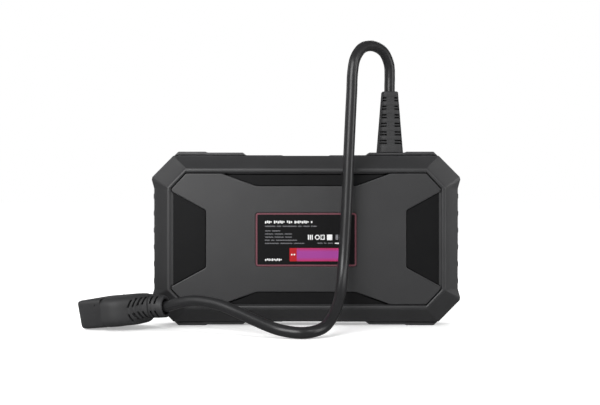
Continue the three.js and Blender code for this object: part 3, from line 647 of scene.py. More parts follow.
def box(x0, x1, z0, z1):
    """A rectangle's clockwise outline in millimetres, a little rounded."""
    radius = min(0.18, (x1 - x0) / 4, (z1 - z0) / 4)
    return rectangle((x1 - x0) * MM, (z1 - z0) * MM, radius * MM, (x0 + x1) / 2 * MM, (z0 + z1) / 2 * MM, 2)


def words(left, z, height, lengths, gap, stroke):
    """A greeked line of print: each word a run of short strokes of uneven height, in place of letters."""
    bars = []
    for length in lengths:
        count = max(1, round(length / stroke))
        for i in range(count):
            start = left + i * length / count
            low = z + height * (0.0, 0.18, 0.0, 0.3)[(i + count) % 4]
            high = z + height * (1.0, 0.8, 0.92)[(i * 2 + count) % 3]
            bars.append(box(start, start + 0.72 * length / count, low, high))
        left += length + gap
    return bars


def make_label(film, inks):
    """The rating label: a film with a rounded outline, and its print as thin raised bars and blocks.

    The print has words as plain strokes, bars, a ring and a square in place of approval marks, and no name.
    """
    outline = rectangle(LABEL["width"], LABEL["height"], LABEL["radius"], 0, LABEL["z"])
    film_shell = slab(Shell(), outline, LABEL["face"], LABEL["floor"] - 0.05 * MM, 0.08 * MM, wear=0)
    piece("rating_label_film", film_shell, film, ["rating_label"])

    face = LABEL["face"] - 0.03 * MM
    back = LABEL["face"] - 0.005 * MM
    shell = Shell()
    inner = offset(outline, -1.2 * MM)
    slab(shell, offset(outline, -0.1 * MM), face, back, PRINT_EDGE, [inner], finish=0, wear=0)
    white = words(PRINT_LEFT, 9.9, 1.9, [4.5, 7.1, 3.7, 9.3, 1.3], 1.2, 1.15)
    white += words(PRINT_LEFT, -14.1, 1.6, [11.0], 0.9, 1.1)
    white += [box(1.2, 1.9, -0.5, 2.7), box(2.4, 3.1, -0.5, 2.7), box(3.6, 4.3, -0.5, 2.7)]
    white += [box(13.4, 16.8, -0.7, 2.8), box(18.4, 21.2, -3.1, -2.4)]
    grey = words(PRINT_LEFT, 7.7, 0.9, [6.7, 2.8, 9.1, 2.4, 4.1, 3.7], 0.9, 0.6)
    for z, lengths in [(4.8, [3.7, 5.4]), (2.8, [5.4, 5.6, 4.8]), (0.8, [5.4, 6.0, 4.3]),
                       (-1.2, [3.2, 2.2, 13.6]), (-3.2, [9.1, 7.8, 6.9])]:
        grey += words(PRINT_LEFT, z, 0.8, lengths, 0.8, 0.5)
    grey += words(7.2, -3.1, 0.8, [3.6, 1.6, 3.6], 0.7, 0.5) + [box(18.9, 20.6, -0.5, 2.7)]
    red_block, bar = box(-10.6, -6.0, *PRINTED_BAR), box(-6.0, 20.8, *PRINTED_BAR)
    for outlines, ink in [(white, 1), (grey, 2), ([red_block], 3), ([bar], 4)]:
        for shape in outlines:
            slab(shell, shape, face, back, PRINT_EDGE, finish=ink, wear=0)
    round_mark = rectangle(3.2 * MM, 3.2 * MM, 1.58 * MM, 7.2 * MM, 1.1 * MM, 6)
    square_mark = rectangle(2.6 * MM, 3.2 * MM, 0.1 * MM, 10.6 * MM, 1.1 * MM, 2)
    for mark in (round_mark, square_mark):
        slab(shell, mark, face, back, PRINT_EDGE, [offset(mark, -0.6 * MM)], finish=1, wear=0)
    for x in (-9.2, -7.5):
        dot = rectangle(1.1 * MM, 1.1 * MM, 0.54 * MM, x * MM, -10.0 * MM, 3)
        slab(shell, dot, face - 0.02 * MM, face - 0.002 * MM, 0.005 * MM, finish=1, wear=0)
    piece("rating_label_print", shell, inks)


# ---------------------------------------------------------------- screen side

LENS = sizes(width=118, height=71, radius=4, bottom=16.1, top=17.1)
LENS_LEDGE = 15.5 * MM
LEDGE_EDGE = 0.08 * MM
KEY_HOLE_EDGE = 0.06 * MM
FRONT_CEILING = 14.2 * MM
WINDOW = sizes(width=109, height=62, radius=1.5)
DISPLAY = sizes(width=117, height=68, bottom=10.6, top=14.0)
KEY_TOP = 18 * MM
KEY_FLANGE = (13.0 * MM, 13.9 * MM)
KEY_PITCH = 8.6 * MM
KEYPAD_CENTRE = 72.5 * MM
SIDE_KEY_PITCH = 12 * MM


def key_layout():
    """Each key's name with its place, width, height and corner radius."""
    x = -KEYPAD_CENTRE
    arrow = (7 * MM, 7 * MM, 1.4 * MM)
    bar = (13 * MM, 7.4 * MM, 2.2 * MM)
    return {
        "key_up": (x, KEY_PITCH, *arrow), "key_down": (x, -KEY_PITCH, *arrow),
        "key_left": (x + KEY_PITCH, 0, *arrow), "key_right": (x - KEY_PITCH, 0, *arrow),
        "key_ok": (x, 0, 7 * MM, 7 * MM, 3.4 * MM),
        "key_power": (KEYPAD_CENTRE, SIDE_KEY_PITCH, *bar), "key_menu": (KEYPAD_CENTRE, 0, *bar),
        "key_back": (KEYPAD_CENTRE, -SIDE_KEY_PITCH, *bar),
    }


def make_front_cover(plastic):
    """The front cover: its face with a sunk ledge for the lens, a window through it and eight key holes.

    The edges of the ledge and the holes are small, so that their flat margins stay clear of each other:
    0.85 mm parts the ledge from the nearest hole.
    """
    shell = Shell()
    face = rounded(mirrored(PLATE), 0.5 * MM)
    rim = edged(shell, face, FRONT_FACE, COVER_EDGE_DEPTH, COVER_EDGE)
    recess = rectangle(LENS["width"] + 0.5 * MM, LENS["height"] + 0.5 * MM, LENS["radius"])
    sunk = edged(shell, recess, FRONT_FACE, LENS_LEDGE, LEDGE_EDGE, -1)
    window = rectangle(WINDOW["width"], WINDOW["height"], WINDOW["radius"])
    sill = shell.rings([(window, LENS_LEDGE), (window, FRONT_CEILING)])
    shell.bands(sill)
    shell.cap(sunk[-1], sill[0])
    fronts, backs = [rim[0], sunk[0]], [sill[-1]]
    for x, z, width, height, radius in key_layout().values():
        hole = rectangle(width + 2 * FIT, height + 2 * FIT, radius + FIT, x, z, 5)
        rings = edged(shell, hole, FRONT_FACE, FRONT_CEILING, KEY_HOLE_EDGE, -1)
        fronts.append(rings[0])
        backs.append(rings[-1])
    shell.cap(*fronts)
    body, hollow, ceiling = (rounded(mirrored(quarter), 0.5 * MM)
                             for quarter in (COVER_BODY, COVER_HOLLOW, COVER_CEILING))
    walls = [rim[-1], *shell.rings([(body, SHOULDER_DEPTH), (body, FIT / 2), (hollow, FIT / 2),
                                    (hollow, SHOULDER_DEPTH), (ceiling, FRONT_CEILING)])]
    shell.bands(walls)
    shell.cap(walls[-1], *backs)
    return piece("front_cover_moulded", shell, plastic, ["front_cover"])


def make_screen(glass, border_ink, bezel, display, foam):
    """The lens with its printed border, the foam ring under it and the display panel behind."""
    outline = rectangle(LENS["width"], LENS["height"], LENS["radius"], steps=8)
    lens = slab(Shell(), outline, LENS["top"], LENS["bottom"], 0.2 * MM, wear=0)
    piece("screen_lens_pane", lens, glass, ["screen_lens"])
    opening = rectangle(WINDOW["width"] - 3 * MM, WINDOW["height"] - 3 * MM, WINDOW["radius"])
    border = slab(Shell(), offset(outline, -0.3 * MM), LENS["bottom"] - 0.02 * MM, LENS["bottom"] - 0.07 * MM,
                  0.01 * MM, [opening], wear=0)
    piece("screen_lens_border", border, border_ink)
    ring = rectangle(LENS["width"] - 1.2 * MM, LENS["height"] - 1.2 * MM, 3.4 * MM)
    gasket = slab(Shell(), ring, 16.0 * MM, 15.6 * MM, 0.1 * MM, [offset(ring, -3.4 * MM)], wear=0)
    piece("lens_gasket_foam", gasket, foam, ["lens_gasket"])

    panel = Shell()
    outline = rectangle(DISPLAY["width"], DISPLAY["height"], 1 * MM)
    active = rectangle(104 * MM, 58.5 * MM, 0.4 * MM)
    slab(panel, outline, DISPLAY["top"], DISPLAY["bottom"], 0.3 * MM, wear=0)
    slab(panel, active, DISPLAY["top"] + 0.3 * MM, DISPLAY["top"] + 0.02 * MM, 0.05 * MM, finish=1, wear=0)
    piece("display_panel_module", panel, [bezel, display], ["display_panel"])


def key_marks():
    """The generic sign on each key: arrows, a ring, the power sign, three bars and a return arrow."""
    arrow = mm([[-1.5, -0.9], [0, 1.3], [1.5, -0.9]])
    quarter_turn = np.array([[0, -1], [1, 0]])
    up = rounded(arrow, 0.35 * MM)
    marks = {"key_up": [[up]], "key_down": [[rounded(-arrow, 0.35 * MM)]],
             "key_left": [[rounded(arrow @ quarter_turn, 0.35 * MM)]],
             "key_right": [[rounded(-arrow @ quarter_turn, 0.35 * MM)]]}
    marks["key_ok"] = [[rectangle(3.4 * MM, 3.4 * MM, 1.69 * MM), rectangle(2.5 * MM, 2.5 * MM, 1.24 * MM)]]
    sweep = np.radians(np.linspace(125, 415, 28))
    turn = np.stack([np.cos(sweep), np.sin(sweep)], axis=1)
    arc = np.concatenate([turn[::-1] * 1.75 * MM, turn * 1.3 * MM])
    marks["key_power"] = [[arc], [box(-0.24, 0.24, 0.5, 2.2)]]
    marks["key_menu"] = [[box(-2, 2, z - 0.24, z + 0.24)] for z in (-1.3, 0, 1.3)]
    bent = mm([[-2.3, 0.5], [-0.7, 1.8], [-0.7, 0.8], [2.1, 0.8], [2.1, -1.6], [1.5, -1.6],
               [1.5, 0.2], [-0.7, 0.2], [-0.7, -0.8]])
    marks["key_back"] = [[rounded(bent, 0.12 * MM, 2)]]
    return marks


def make_keys(silicone, ink):
    """Crowned key caps on their flanges, each with a printed sign, all riding on their own bodies.

    A cap's outline goes up its wall and over a rounded edge, then shrinks towards the middle while it
    rises by crown times 1 - share squared.
    """
    crown = 0.22 * MM
    edge = 0.7 * MM
    marks = key_marks()
    for name, (x, z, width, height, radius) in key_layout().items():
        shell = Shell()
        outline = rectangle(width, height, radius, x, z)
        flange = rectangle(width + 1.4 * MM, height + 1.4 * MM, 1 * MM, x, z)
        insets, drops = quarter_round(edge)
        stages = [(flange, KEY_FLANGE[0], 0), (flange, KEY_FLANGE[1], 0), (outline, KEY_FLANGE[1], 0)]
        stages += [(offset(outline, -inset), KEY_TOP - crown - drop, wear)
                   for inset, drop, wear in zip(insets[::-1], drops[::-1], EDGE_WEAR)]
        centre = np.array([x, z])
        inner = offset(outline, -edge) - centre
        for share in (0.9, 0.75, 0.6, 0.45, 0.3, 0.15):
            stages.append((centre + inner * share, KEY_TOP - crown * share ** 2, 0))
        rings = shell.rings(stages)
        shell.bands(rings)
        shell.pole(rings[-1], [x, KEY_TOP, z + MIDDLE])
        shell.cap(rings[0])
        piece(f"{name}_moulding", shell, silicone, [name], body=f"{name}_cap")
        sign = Shell()
        for outlines in marks[name]:
            outer, *holes = [points + centre for points in outlines]
            slab(sign, outer, KEY_TOP + 0.04 * MM, KEY_TOP - crown - 0.3 * MM, 0.02 * MM, holes, wear=0)
        piece(f"{name}_sign", sign, ink, body=f"{name}_cap")


# ---------------------------------------------------------------- strain relief and lead

RELIEF = sizes(x=55.1, base=112.7, top=152.6, base_half=8.5, top_half=5.35, first=5.2, pitch=5.6,
               step=1.8, slot=1.0, spine=2.6, edge=0.9, depth=3) | {"pairs": 6}


def super_ring(half_u, half_v, exponent, count):
    """A rounded rectangle as a superellipse: signed cosine and sine, each to the power 2 / exponent."""
    angle = (np.arange(count) + 0.5) / count * 2 * math.pi
    c, s = np.cos(angle), np.sin(angle)
    u = np.sign(c) * np.abs(c) ** (2 / exponent) * half_u
    v = np.sign(s) * np.abs(s) ** (2 / exponent) * half_v
    return np.stack([u, v], axis=1)


def make_strain_relief(mould):
    """The slotted cone: superellipse rings up its height, narrowing evenly.

    In each slot the front and rear faces fall in, between a spine in the middle and a web at either side
    that keeps the outline whole. The top has a rounded lip and a bore for the lead.
    """
    shell = Shell()
    height = RELIEF["top"] - RELIEF["base"]

    def half_at(z):
        share = (z - RELIEF["base"]) / height
        return RELIEF["base_half"] + share * (RELIEF["top_half"] - RELIEF["base_half"])

    def section(z):
        """A quarter's places across crowd round the slot's two ends; the depth follows the superellipse."""
        half = half_at(z)
        outer = half - RELIEF["edge"]
        near = 0.04 * MM
        across = np.concatenate([
            np.linspace(0, RELIEF["spine"] - near, 5), np.linspace(RELIEF["spine"] + near, outer - near, 9),
            outer + near + (half - outer - near) * np.sin(np.linspace(0, math.pi / 2, 9))])
        deep = half * (1 - np.minimum(across / half, 1) ** 4.2) ** (1 / 4.2)
        first = np.stack([across, deep], axis=1)
        right = np.concatenate([first, first[-2::-1] * [1, -1]])
        return np.concatenate([right, right[-2:0:-1] * [-1, 1]]), half, outer

    def placed(points, z):
        return np.stack([RELIEF["x"] + points[:, 0], points[:, 1], np.full(len(points), z)], axis=1)

    def full(z, inset=0.0, wear=0.0):
        points, half, _ = section(z)
        return shell.ring(placed(points * (half - inset) / half, z), wear)

    def slotted(z):
        points, half, outer = section(z)
        across = np.abs(points[:, 0])
        in_slot = (across > RELIEF["spine"]) & (across < outer)
        floor = np.sign(points[:, 1]) * np.minimum(np.abs(points[:, 1]), half - RELIEF["depth"])
        points[:, 1] = np.where(in_slot, floor, points[:, 1])
        return shell.ring(placed(points, z))

    base = RELIEF["base"]
    rings = [full(base), full(base + 2 * MM)]
    for pair in range(RELIEF["pairs"]):
        for step in (0, RELIEF["step"]):
            z = base + RELIEF["first"] + pair * RELIEF["pitch"] + step
            end = z + RELIEF["slot"]
            rings += [full(z - 0.12 * MM), full(z, 0.05 * MM, 0.7), slotted(z), slotted(end),
                      full(end, 0.05 * MM, 0.7), full(end + 0.12 * MM)]
    top = RELIEF["top"]
    for drop, inset, wear in [(1.6, 0.0, 0), (0.7, 0.0, 0.2), (0.3, 0.12, 0.8),
                              (0.06, 0.42, 0.6), (0, 0.8, 0)]:
        rings.append(full(top - drop * MM, inset * MM, wear))
    points, _, _ = section(top)
    spokes = points / np.linalg.norm(points, axis=1)[:, None]
    for radius, z in [(3.95, 152.6), (3.72, 152.4), (3.6, 151.9), (3.6, 150.4)]:
        rings.append(shell.ring(placed(spokes * radius * MM, z * MM)))
    shell.tube(rings)
    return piece("strain_relief_moulded", shell, mould, ["strain_relief"], crease=40)


# The lead's route: over and down to the surface, along it, and up into the plug's tail.
CORD_ROUTE = mm([
    [55.1, 0, 152.9], [55.1, 0, 157.5], [55.2, -0.1, 162.4], [54.6, -1.5, 170.6], [50.6, -6.3, 178.0],
    [43.0, -14.0, 180.8], [35.7, -21.3, 178.2], [31.0, -26.6, 170.9], [29.3, -28.6, 162.0],
    [28.7, -29.0, 149.5], [28.1, -29.1, 138.0], [26.9, -29.1, 111.7], [25.3, -29.2, 75.2],
    [23.2, -31.4, 41.3], [21.4, -38.6, 25.4], [18.7, -47.4, 16.6], [14.4, -58.0, 9.4],
    [8.6, -67.6, 5.2], [-1.6, -73.6, 3.65], [-15.6, -70.4, 4.9], [-30.8, -60.6, 9.4],
    [-40.4, -54.2, 13.0], [-54.5, -46.6, 17.6], [-70.0, -39.6, 19.0], [-79.5, -35.9, 17.2],
])


def plug_place(points):
    """Points of the plug's own frame, x from its open end to its tail, turned and put where it lies."""
    x, y, z = np.asarray(points, float).T
    lift, turn = (math.cos(PLUG_PITCH), math.sin(PLUG_PITCH)), (math.cos(PLUG_YAW), math.sin(PLUG_YAW))
    forward = x * lift[0] - z * lift[1]
    upward = x * lift[1] + z * lift[0]
    turned = [forward * turn[0] + y * turn[1], -forward * turn[1] + y * turn[0], upward]
    return np.stack(turned, axis=1) + PLUG_NOSE


def through(points, step):
    """A centripetal Catmull-Rom curve through the points, resampled evenly about every `step`.

    Each span blends three straight lines, then two, then one, over knots spaced by the square root of
    the distances between the points.
    """
    points = np.vstack([2 * points[0] - points[1], points, 2 * points[-1] - points[-2]])
    knots = np.concatenate([[0], np.cumsum(np.linalg.norm(np.diff(points, axis=0), axis=1) ** 0.5)])
    spans = []
    for i in range(1, len(points) - 2):
        t = np.linspace(knots[i], knots[i + 1], 40, endpoint=False)[:, None]

        def mix(a, b, i0, i1):
            return ((knots[i1] - t) * a + (t - knots[i0]) * b) / (knots[i1] - knots[i0])

        first = [mix(points[k], points[k + 1], k, k + 1) for k in (i - 1, i, i + 1)]
        second = [mix(first[0], first[1], i - 1, i + 1), mix(first[1], first[2], i, i + 2)]
        spans.append(mix(second[0], second[1], i, i + 1))
    curve = np.vstack([*spans, points[-2:-1]])
    run = np.concatenate([[0], np.cumsum(np.linalg.norm(np.diff(curve, axis=0), axis=1))])
    even = np.linspace(0, run[-1], int(run[-1] / step) + 1)
    return np.stack([np.interp(even, run, curve[:, axis]) for axis in range(3)], axis=1)


def tube_rings(path, radius, sides):
    """Rings of a tube: each frame is the last one turned by the least angle to the path's new direction."""
    tangents = np.gradient(path, axis=0)
    tangents /= np.linalg.norm(tangents, axis=1)[:, None]
    across = np.cross(tangents[0], [0.0, 1.0, 0.0])
    normals = []
    for tangent in tangents:
        across = across - tangent * (across @ tangent)
        across /= np.linalg.norm(across)
        normals.append(across)
    normals = np.array(normals)
    binormals = np.cross(tangents, normals)
    angle = np.arange(sides) / sides * 2 * math.pi
    spokes = normals[:, None] * np.cos(angle)[:, None] + binormals[:, None] * np.sin(angle)[:, None]
    return path[:, None] + radius * spokes, angle


def make_cord(jacket):
    """The free lead: a tube along the route, its ends a little way into the relief and the plug's tail.

    `straight` keeps each point's place on the lead laid out straight, so that the jacket's drawn lines
    follow it round the bends.
    """
    ends = plug_place(mm([[51.5, 0, 0], [47.8, 0, 0]]))
    path = through(np.vstack([CORD_ROUTE, ends]), 0.9 * MM)
    inside = path[:1] - [[0, 0, 1.6 * MM]]
    line = np.vstack([inside, path])
    rings, angle = tube_rings(line, CORD_RADIUS, CORD_SIDES)
    shell = Shell()
    shell.tube([shell.ring(ring) for ring in rings])
    cord = piece("cord_jacket", shell, jacket, ["cord"])
    run = np.concatenate([[0], np.cumsum(np.linalg.norm(np.diff(line, axis=0), axis=1))])
    laid = np.stack(np.broadcast_arrays(
        CORD_RADIUS * np.cos(angle)[None], CORD_RADIUS * np.sin(angle)[None], run[:, None]), axis=2)
    straight = cord.data.attributes.new("straight", "FLOAT_VECTOR", "POINT")
    straight.data.foreach_set("vector", laid.astype(np.float32).ravel())
    return cord, path


# ---------------------------------------------------------------- diagnostic plug

SHROUD = sizes(wide=20.2, narrow=17.4, half=9.1, cut=3.2, wall=1.7)
PIN_PITCH = 4 * MM
PIN_ROW = 3.7 * MM
PIN_HOLE = (2.1 * MM, 1.2 * MM, 0.2 * MM)  # width, height and corner radius
KEYWAY = (4.8 * MM, 1.8 * MM, 0.4 * MM)
BLADE = (1.7 * MM, 0.8 * MM, 0.22 * MM)
PIN_EDGE = 0.25 * MM
FILLED_PINS = [(-3, 1), (-1, 1), (0, 1), (1, 1), (2, 1), (-2, -1), (2, -1), (3, -1), (4, -1)]

# Along the grip and the tail from the shroud: half width, half height, squareness and the middle's lift.
GRIP = np.array([[16.3, 20.4, 9.1, 5.0, 0], [19, 20.8, 9.5, 5.0, 0], [26, 20.3, 9.6, 4.5, 0],
                 [33, 16.0, 9.4, 4.0, 0], [34.6, 14.6, 9.3, 3.9, 0], [35.4, 13.9, 9.1, 3.8, 0],
                 [36.1, 13.3, 8.0, 3.7, 0.9], [42.8, 8.6, 7.4, 2.6, 1.0]]) * [MM, MM, MM, 1, MM]
TAIL = np.array([[43.1, 8.4, 7.3, 2.6, 1.0], [46, 7.8, 7.3, 2.3, 0.7], [50.7, 7.2, 7.0, 2.0, 0.2],
                 [51.5, 6.6, 6.6, 2.0, 0]]) * [MM, MM, MM, 1, MM]
GRIP_SLOTS = mm([33.2, 35.6, 38.0, 40.3])
TAIL_SLOTS = mm([44.3, 47.2])
GRIP_POINTS = 200
TAIL_POINTS = 160
SLOT = sizes(half=0.62, inner=2.2, reach=4.2, depth=2.4) | {"lean": 0.36}


def plug_section(outline, x):
    """A section of the plug, in y and z, at a distance x from its open end."""
    return plug_place(np.column_stack([np.full(len(outline), x), outline]))


def shroud_outline():
    """The D shape of the shroud: its lower side is the narrow one."""
    wide, narrow, half = SHROUD["wide"], SHROUD["narrow"], SHROUD["half"]
    return rounded([[-wide, half], [wide, half], [narrow, -half], [-narrow, -half]], SHROUD["cut"], 8)


def make_shroud(plastic, carrier_plastic, brass):
    """The shroud with its rounded lip, the pin carrier inside with its sixteen slots, and nine pins."""
    outline = shroud_outline()
    shell = Shell()
    stages = [(0, 16, 0), (0, 11, 0), (0, 5, 0), (0, 2.4, 0.2), (0.04, 1.5, 0.5), (0.2, 0.8, 0.9),
              (0.5, 0.25, 1), (0.85, 0, 0.9), (1.3, 0, 0.6), (1.55, 0.15, 0.4), (1.7, 0.5, 0),
              (1.7, 12, 0), (1.7, 16, 0)]
    rings = [shell.ring(plug_section(offset(outline, -inset * MM), x * MM), wear)
             for inset, x, wear in stages]
    shell.bands([*rings, rings[0]])
    shroud = piece("plug_shroud_moulded", shell, plastic, ["plug_shroud"])

    places = [(column, row) for row in (1, -1) for column in range(-3, 5)]
    holes = [rectangle(*PIN_HOLE, (column - 0.5) * PIN_PITCH, row * PIN_ROW, 2)
             for column, row in places]
    holes.append(rectangle(*KEYWAY, 0, 0, 2))
    body = slab(Shell(), offset(outline, -SHROUD["wall"] - FIT), 12.5 * MM, 15.8 * MM, PIN_EDGE, holes,
                place=plug_section)
    carrier = piece("pin_carrier_moulded", body, carrier_plastic, ["pin_carrier"])
    made = [shroud, carrier]
    for number, (column, row) in enumerate(FILLED_PINS, 1):
        blade = rectangle(*BLADE, (column - 0.5) * PIN_PITCH, row * PIN_ROW, 3)
        shell = slab(Shell(), blade, 4.5 * MM, 15.6 * MM, PIN_EDGE, place=plug_section)
        made.append(piece(f"plug_pin_{number}_blade", shell, brass, [f"plug_pin_{number}"]))
    return made


def moulded_rings(shell, table, stations, count, blend):
    """Rings of a moulding whose sizes follow a table of x, half width, half height, squareness and lift.

    A station is (x, lean, cut, inset, wear). A leaning ring moves towards the tail with its distance
    from the middle height, as far as the slots reach; a cut one has its sides pushed in between the
    slots' inner and outer ends.
    """
    rings = []
    outer = SLOT["inner"] + SLOT["reach"]
    for x, lean, cut, inset, wear in stations:
        half_v = softened(table[:, [0, 2]], np.array(x), blend) - inset
        square = np.interp(x, table[:, 0], table[:, 3])
        shape = super_ring(1, 1, square, count)
        height = shape[:, 1] * half_v
        along = x + lean * (np.minimum(np.abs(height), outer) - SLOT["inner"])
        height = shape[:, 1] * (softened(table[:, [0, 2]], along, blend) - inset)
        width = shape[:, 0] * (softened(table[:, [0, 1]], along, 3.2 * MM) - inset)
        side = np.abs(shape[:, 0]) > 0.45
        slotted = side & (np.abs(height) > SLOT["inner"]) & (np.abs(height) < outer) & bool(cut)
        width = np.where(slotted, width - np.sign(width) * SLOT["depth"], width)
        dish_along = np.interp(x, mm([17, 19.5, 26, 30]), [0, 1, 1, 0])
        dish_across = np.clip((13 * MM - np.abs(width)) / (3 * MM), 0, 1)
        dish = 0.7 * MM * dish_along * dish_across ** 2 * (3 - 2 * dish_across)
        height = height - np.sign(height) * dish * (np.abs(height) > 0.6 * half_v)
        height = height + softened(table[:, [0, 4]], along, blend)
        rings.append(shell.ring(plug_place(np.stack([along, width, height], axis=1)), wear))
    return rings


def slot_stations(place, lean):
    """The stations over one slot: its rounded edges, and its floor between them."""
    half = SLOT["half"]
    near = 0.12 * MM
    return [(place - half - near, lean, 0, 0, 0), (place - half, lean, 0, 0.05 * MM, 0.8),
            (place - half, lean, 1, 0, 0), (place + half, lean, 1, 0, 0),
            (place + half, lean, 0, 0.05 * MM, 0.8), (place + half + near, lean, 0, 0, 0)]


def make_grip(mould):
    """The moulded grip: flat and wide at the shroud, drawn in towards the tail, with four leaning slots on
    each side, above and below, and a shallow dish for the finger and the thumb."""
    shell = Shell()
    stations = [(x * MM, 0, 0, inset * MM, wear) for x, inset, wear in
                [(16.3, 0.12, 0), (16.36, 0.03, 0.2), (16.8, 0, 0)]]
    stations += [(x, 0, 0, 0, 0) for x in mm(np.arange(17.5, 30, 0.75))]
    stations += [(x * MM, lean * SLOT["lean"], 0, 0, 0) for x, lean in [(30.5, 0.3), (31.3, 0.7), (32, 1)]]
    for place in GRIP_SLOTS:
        stations += slot_stations(place, SLOT["lean"])
    straightened = [(41.3, 0.8), (41.7, 0.6), (42.1, 0.35), (42.5, 0.14)]
    stations += [(x * MM, lean * SLOT["lean"], 0, 0, 0) for x, lean in straightened]
    stations += [(42.7 * MM, 0, 0, 0.08 * MM, 0.3), (42.8 * MM, 0, 0, 0.3 * MM, 0)]
    rings = moulded_rings(shell, GRIP, stations, GRIP_POINTS, 0.35 * MM)
    shell.tube(rings)
    return piece("plug_grip_moulded", shell, mould, ["plug_grip"], crease=40)


def make_tail(mould):
    """The plug's tail: a short sleeve with two more slots, a rounded lip and a deep mouth for the lead."""
    shell = Shell()
    lean = SLOT["lean"] * 0.6
    stations = [(42.86 * MM, 0, 0, 0.3 * MM, 0), (42.9 * MM, 0, 0, 0.05 * MM, 0),
                (43.4 * MM, lean / 2, 0, 0, 0)]
    for place in TAIL_SLOTS:
        stations += slot_stations(place, lean)
    stations += [(48.6 * MM, lean / 2, 0, 0, 0), (50 * MM, 0, 0, 0, 0), (50.8 * MM, 0, 0, 0.05 * MM, 0.5)]
    rings = moulded_rings(shell, TAIL, stations, TAIL_POINTS, 1.2 * MM)
    for radius, x, wear in [(6.75, 51.25, 1), (6.3, 51.5, 1), (5.6, 51.5, 0.6), (5.1, 51.2, 0.6),
                            (4.9, 50.5, 0), (4.8, 47.5, 0)]:
        circle = super_ring(radius * MM, radius * MM, 2, TAIL_POINTS)
        rings.append(shell.ring(plug_section(circle, x * MM), wear))
    shell.tube(rings)
    return piece("plug_tail_moulded", shell, mould, ["plug_strain_relief"], crease=40)


# ---------------------------------------------------------------- stage


FLOOR_GLOW = 0.36
FLOOR_REACH = 120.0
SURROUND_LIGHT = 0.16
SURROUND_SEEN = 1.0
SUN_TURN = (math.radians(-25), 0, math.radians(10))
CAMERA_PLACE = (-0.0039, -0.66, 0.0799)
FOCAL_LENGTH = 60.15  # in millimetres, on a sensor 36 mm wide


def make_floor():
    """A wide pale floor of white acrylic, matt on top and faintly lit from below."""
    material, shader = finish_named("matt_white_acrylic", Roughness=0.9, Emission_Color=(1, 1, 1, 1),
                                    Emission_Strength=FLOOR_GLOW, Specular_IOR_Level=0.0)
    place = add(material, "TexCoord").outputs["Object"]
    drift = add(material, "TexNoise", {"Vector": place, "Scale": 3.0, "Detail": 2})
    tone = add(material, "MapRange", {
        "Value": drift.outputs["Fac"], "To Min": 0.79, "To Max": 0.81})
    feed(shader, Base_Color=tone.outputs[0])
    mesh = bpy.data.meshes.new("floor")
    corners = [(x * FLOOR_REACH, y * FLOOR_REACH, 0) for x, y in ((-1, -1), (1, -1), (1, 1), (-1, 1))]
    mesh.from_pydata(corners, [], [(0, 1, 2, 3)])
    mesh.materials.append(material)
    floor = shown("floor", mesh)
    floor.visible_glossy = False


def area_light(name, place, target, size, power):
    """A soft box at `place`, facing `target`, its width and height in metres and its power in watts."""
    data = bpy.data.lights.new(name, "AREA")
    data.shape = "RECTANGLE"
    data.size, data.size_y = size
    data.energy = power
    light = shown(name, data)
    light.location = place
    light.rotation_euler = (Vector(target) - Vector(place)).to_track_quat("-Z", "Y").to_euler()
    light.visible_camera = False


def make_lights():
    """A white surround that lights gently, a broad key for the floor, and soft boxes round the reader."""
    world = bpy.data.worlds.new("studio")
    world.use_nodes = True
    tree = world.node_tree
    backdrop = tree.nodes["Background"]
    backdrop.inputs["Color"].default_value = (1, 1, 1, 1)
    seen = tree.nodes.new("ShaderNodeLightPath")
    level = tree.nodes.new("ShaderNodeMapRange")
    level.inputs["To Min"].default_value = SURROUND_LIGHT
    level.inputs["To Max"].default_value = SURROUND_SEEN
    tree.links.new(seen.outputs["Is Camera Ray"], level.inputs["Value"])
    tree.links.new(level.outputs[0], backdrop.inputs["Strength"])
    bpy.context.scene.world = world

    sun = bpy.data.lights.new("broad_key", "SUN")
    sun.energy = 2.3
    sun.angle = math.radians(60)
    key = shown("broad_key", sun)
    key.rotation_euler = SUN_TURN
    key.visible_glossy = False
    boxes = {
        "front_box": ((-0.4, -0.8, 0.45), (0.6, 0.6), 10), "right_box": ((0.85, -0.35, 0.2), (0.3, 0.6), 3.0),
        "upper_right_box": ((0.55, -0.6, 0.6), (0.3, 0.3), 1.5),
        "upper_left_box": ((-0.6, -0.3, 0.7), (0.3, 0.3), 0.6),
        "left_rim": ((-0.8, 0.35, 0.3), (0.2, 0.7), 1.0), "screen_box": ((0.35, 0.9, 0.5), (0.6, 0.6), 4),
    }
    for name, (place, size, power) in boxes.items():
        area_light(name, place, (0, 0, MIDDLE), size, power)


def make_camera():
    """The camera stands level with the reader's upper half, square on to its rear."""
    data = bpy.data.cameras.new("camera")
    data.sensor_width = 36
    data.lens = FOCAL_LENGTH
    camera = shown("camera", data)
    camera.location = CAMERA_PLACE
    camera.rotation_euler = (math.radians(90), 0, 0)
    bpy.context.scene.camera = camera


# ---------------------------------------------------------------- assembly

make_camera()
make_lights()
make_floor()
bpy.context.scene.view_settings.view_transform = "Standard"

# Soft moulded rubber: matt, with a fine eroded grain (0.3 mm, drawn at 0.7 mm) that softens every light.
rubber = moulded("moulded_rubber", "#202021", "#272728", "#454547", 0.7 * MM, 0.44, Specular_IOR_Level=0.45)
# ABS from a spark-eroded tool: a slightly tighter grain than the rubber's, and evenly grey.
cover = moulded("spark_eroded_abs", "#242425", "#2b2b2c", "#38383a", 0.6 * MM, 0.42, Specular_IOR_Level=0.45)
# Black ABS from a blasted tool: it drinks light, so the panels read as darker than the plate.
insert_black = moulded("blasted_black_abs", "#0b0b0c", "#101011", "#161617", 0.5 * MM, 0.5, 0.1,
                       Specular_IOR_Level=0.12)
# Soft PVC moulded over the lead's ends: duller than its jacket, with rubbed edges round the slots.
mould_pvc = moulded("overmoulded_pvc", "#202021", "#272728", "#343436", 0.6 * MM, 0.58,
                    Specular_IOR_Level=0.4)
